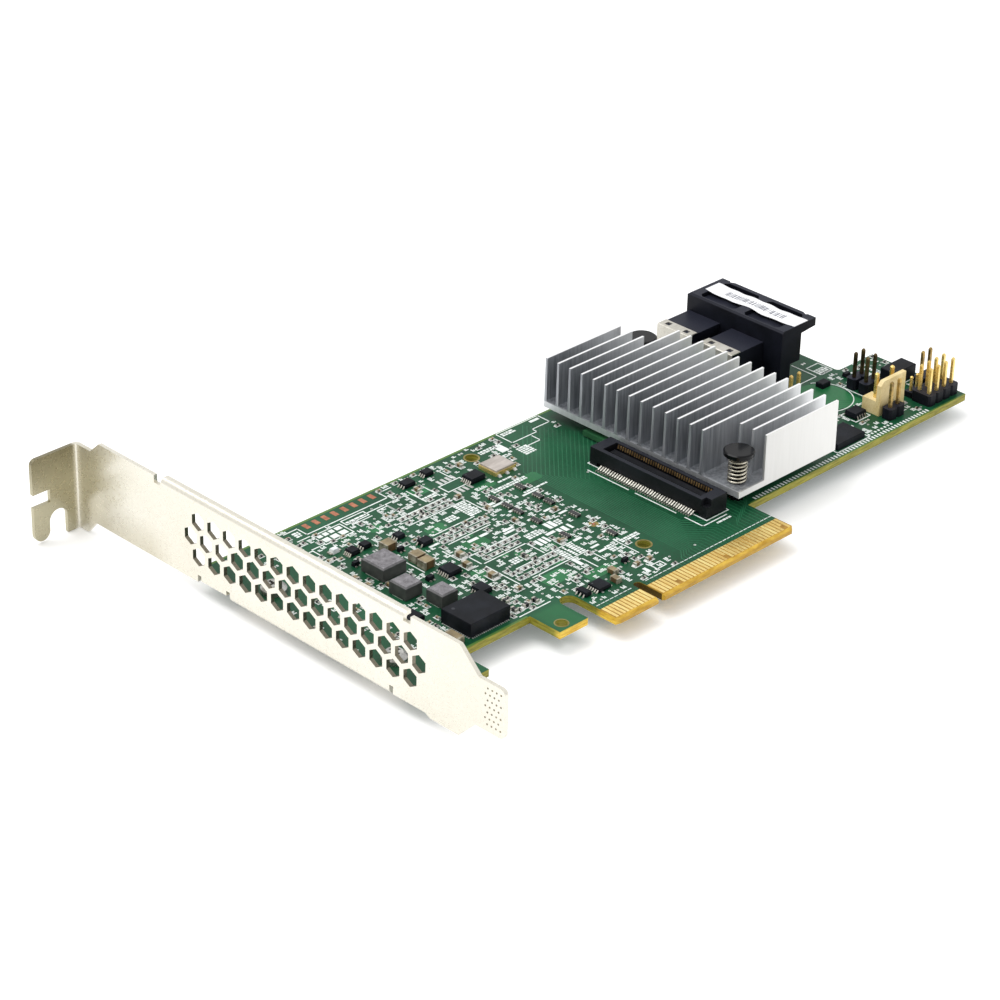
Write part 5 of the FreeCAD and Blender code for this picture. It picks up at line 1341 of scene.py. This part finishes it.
pit_verts, pit_faces = join(pit_meshes)
pit_verts = np.column_stack([PLATE_FACE + 0.01 - pit_verts[:, 2], pit_verts[:, :2]])
# Painted shade: the dark discs stand in for the shade inside the stamped pits.
pit_painted_shade = finish(
    "pit_painted_shade_discs", (96, 90, 70), (140, 132, 106), metal=0.6, rough=(0.4, 0.55), cloud=900.0)
add_piece("foot_pit_shade_discs", (pit_verts, pit_faces[:, ::-1]), "nickel_steel", pit_painted_shade)

# %% [markdown]
# ## The free end of the card
# A printed circle shows where a battery or a fan could stand, and a comb of short white marks
# runs along the front edge.

# %% Circle and comb
CIRCLE_X, CIRCLE_Y, CIRCLE_R = 86.4, 32.3, 6.75
sweep = np.radians(np.linspace(-115, 62, 48))
arc = np.column_stack([CIRCLE_X + CIRCLE_R * np.cos(sweep), CIRCLE_Y + CIRCLE_R * np.sin(sweep)])
add_piece("printed_circle", ribbon(arc, 0.22, INK_HIGH), "label_paper", white_ink)
disc = ring_mesh(CIRCLE_X, CIRCLE_Y, 0.4, CIRCLE_R - 0.5, 0.006, 48)
add_piece("green_disc", disc, "solder_mask", pale_copper)
comb = [(x, 12.75, x + 0.45, 13.75) for x in np.arange(42.0, 99.0, 0.95)]
comb += [(x, 14.3, x + 0.5, 14.9) for x in np.arange(80.2, 88.0, 1.05)]
add_piece("edge_comb", plates(comb, 0.0, PAD_HIGH), "label_paper", white_ink)

# %% [markdown]
# ## The solder side
# The back of the card is quieter: memory chips with small parts round them, the far ends of
# the traces, and rows of vias.  Everything is made as for the front and then mirrored through
# the board, with its faces turned round so that they still point outwards.

# %% Draw the parts and vias of the solder side
TINY_LONG, TINY_WIDE, TINY_PAD = 1.0, 0.5, 0.26
under_parts = {"resistor": [], "capacitor": []}


def put_under(kind, x, y, height, along=0.0):
    """List one tiny part of the solder side."""
    under_parts[kind].append((x, y, TINY_LONG, TINY_WIDE, height, TINY_PAD, along))


cache_low, cache_high = node_box("cache_chips")
for x in np.arange(cache_low[0] + 1.0, cache_high[0], 1.9):
    put_under("resistor", x, cache_low[1] - 1.6, 0.35)
    put_under("capacitor", x, cache_high[1] + 1.6, 0.35)
    put_under("resistor", x, cache_high[1] + 3.6, 0.35)
for x in np.arange(-40.0, -2.0, 3.1):
    for y in np.arange(16.0, 64.0, 4.3):
        kind = "resistor" if draw.random() < 0.6 else "capacitor"
        place = x + draw.uniform(-0.8, 0.8), y + draw.uniform(-0.9, 0.9)
        put_under(kind, *place, 0.4, float(draw.random() < 0.5))
for x in np.arange(37.5, 66.0, 2.2):
    for y in np.arange(26.0, 54.0, 2.2):
        if draw.random() < 0.55:
            put_under("capacitor", x, y, 0.5, float(draw.random() < 0.5))
for kind, listed in under_parts.items():
    build_small_parts("under_" + kind + "s", kind, listed, BODY_FINISH[kind], turn_under)
under_vias = []
for x, y in draw.uniform((-42, 14), (96, 66), (260, 2)):
    if not (cache_low[0] - 1 < x < cache_high[0] + 1 and cache_low[1] - 3 < y < cache_high[1] + 5):
        under_vias.append(ring_mesh(x, y, 0.12, 0.26, PAD_HIGH, 8))
add_piece("under_vias", turn_under(join(under_vias)), "solder")

# %% Traces and print of the solder side
under_strips = bundle(16, lambda k: [
    (1.5 + k, FINGER_TOP), (1.5 + k, 12.0 + 0.4 * k), (3.5 + 0.6 * k, 14.0 + 0.4 * k),
    (3.5 + 0.6 * k, 24.0)])
under_strips += bundle(12, lambda k: [
    (40.0, 62.0 - 0.5 * k), (72.0 - 0.207 * k, 62.0 - 0.5 * k), (82.0 - 0.207 * k, 52.0 - 0.5 * k)])
under_strips += bundle(8, lambda k: [
    (-30.0, 60.0 - 0.6 * k), (-4.0 - 0.6 * k, 60.0 - 0.6 * k), (-4.0 - 0.6 * k, 40.0)])
add_piece("under_traces", turn_under(join(under_strips)), "solder_mask", dark_copper)
ink_rects.clear()
ink_frame(cache_low[0] - 0.6, cache_low[1] - 0.5, cache_high[0] + 0.6, cache_high[1] + 0.5)
ink_frame(68.0, 44.0, 96.0, 66.0)
for x in np.arange(-40.0, 0.0, 5.2):
    for y in np.arange(14.4, 64.0, 8.1):
        ink_ticks(x, y, 4)
add_piece("under_ink", turn_under(plates(ink_rects, 0.0, INK_HIGH)), "label_paper", white_ink)

# %% [markdown]
# ## Floor and light
# A pale floor and an even white sky give the clean look of a catalogue.  The floor glows a
# little, so that the card's shadow stays faint.  One large soft lamp from behind brightens the
# top faces.

# %% Build the studio
FLOOR_HALF, FLOOR_GAP, FLOOR_GLOW = 3.0, 0.0002, 0.14
SKY = 0.95


def lay_floor():
    """Square floor just under the lowest point of the card."""
    level = cad_box[0][2] - FLOOR_GAP
    corners = [(x * FLOOR_HALF, y * FLOOR_HALF, level)
               for x, y in ((-1, -1), (1, -1), (1, 1), (-1, 1))]
    mesh = bpy.data.meshes.new("floor")
    mesh.from_pydata(corners, [], [(0, 1, 2, 3)])
    floor = bpy.data.objects.new("floor", mesh)
    scene.collection.objects.link(floor)
    paint = finish("studio_floor", (246, 246, 246), (250, 250, 250), rough=(0.7, 0.8), cloud=3.0,
                   grain=40.0, bump=0.0)
    glow = paint.node_tree.nodes["Principled BSDF"].inputs
    glow["Emission Color"].default_value = (1, 1, 1, 1)
    glow["Emission Strength"].default_value = FLOOR_GLOW
    mesh.materials.append(paint)


def add_lamp(name, place, target, power, size):
    """Square soft lamp at a place, turned towards a target."""
    light = bpy.data.lights.new(name, "AREA")
    light.energy = power
    light.size = size
    lamp = bpy.data.objects.new(name, light)
    lamp.location = place
    lamp.rotation_euler = (Vector(target) - Vector(place)).to_track_quat("-Z", "Y").to_euler()
    scene.collection.objects.link(lamp)


lay_floor()
world = bpy.data.worlds.new("studio")
scene.world = world
world.use_nodes = True
sky = world.node_tree.nodes["Background"].inputs
sky["Color"].default_value = (1, 1, 1, 1)
sky["Strength"].default_value = SKY
add_lamp("key", (-0.2, 0.3, 0.8), (0.0, 0.03, 0.0), power=4.0, size=0.6)
scene.view_settings.view_transform = "Standard"
print("studio ready")
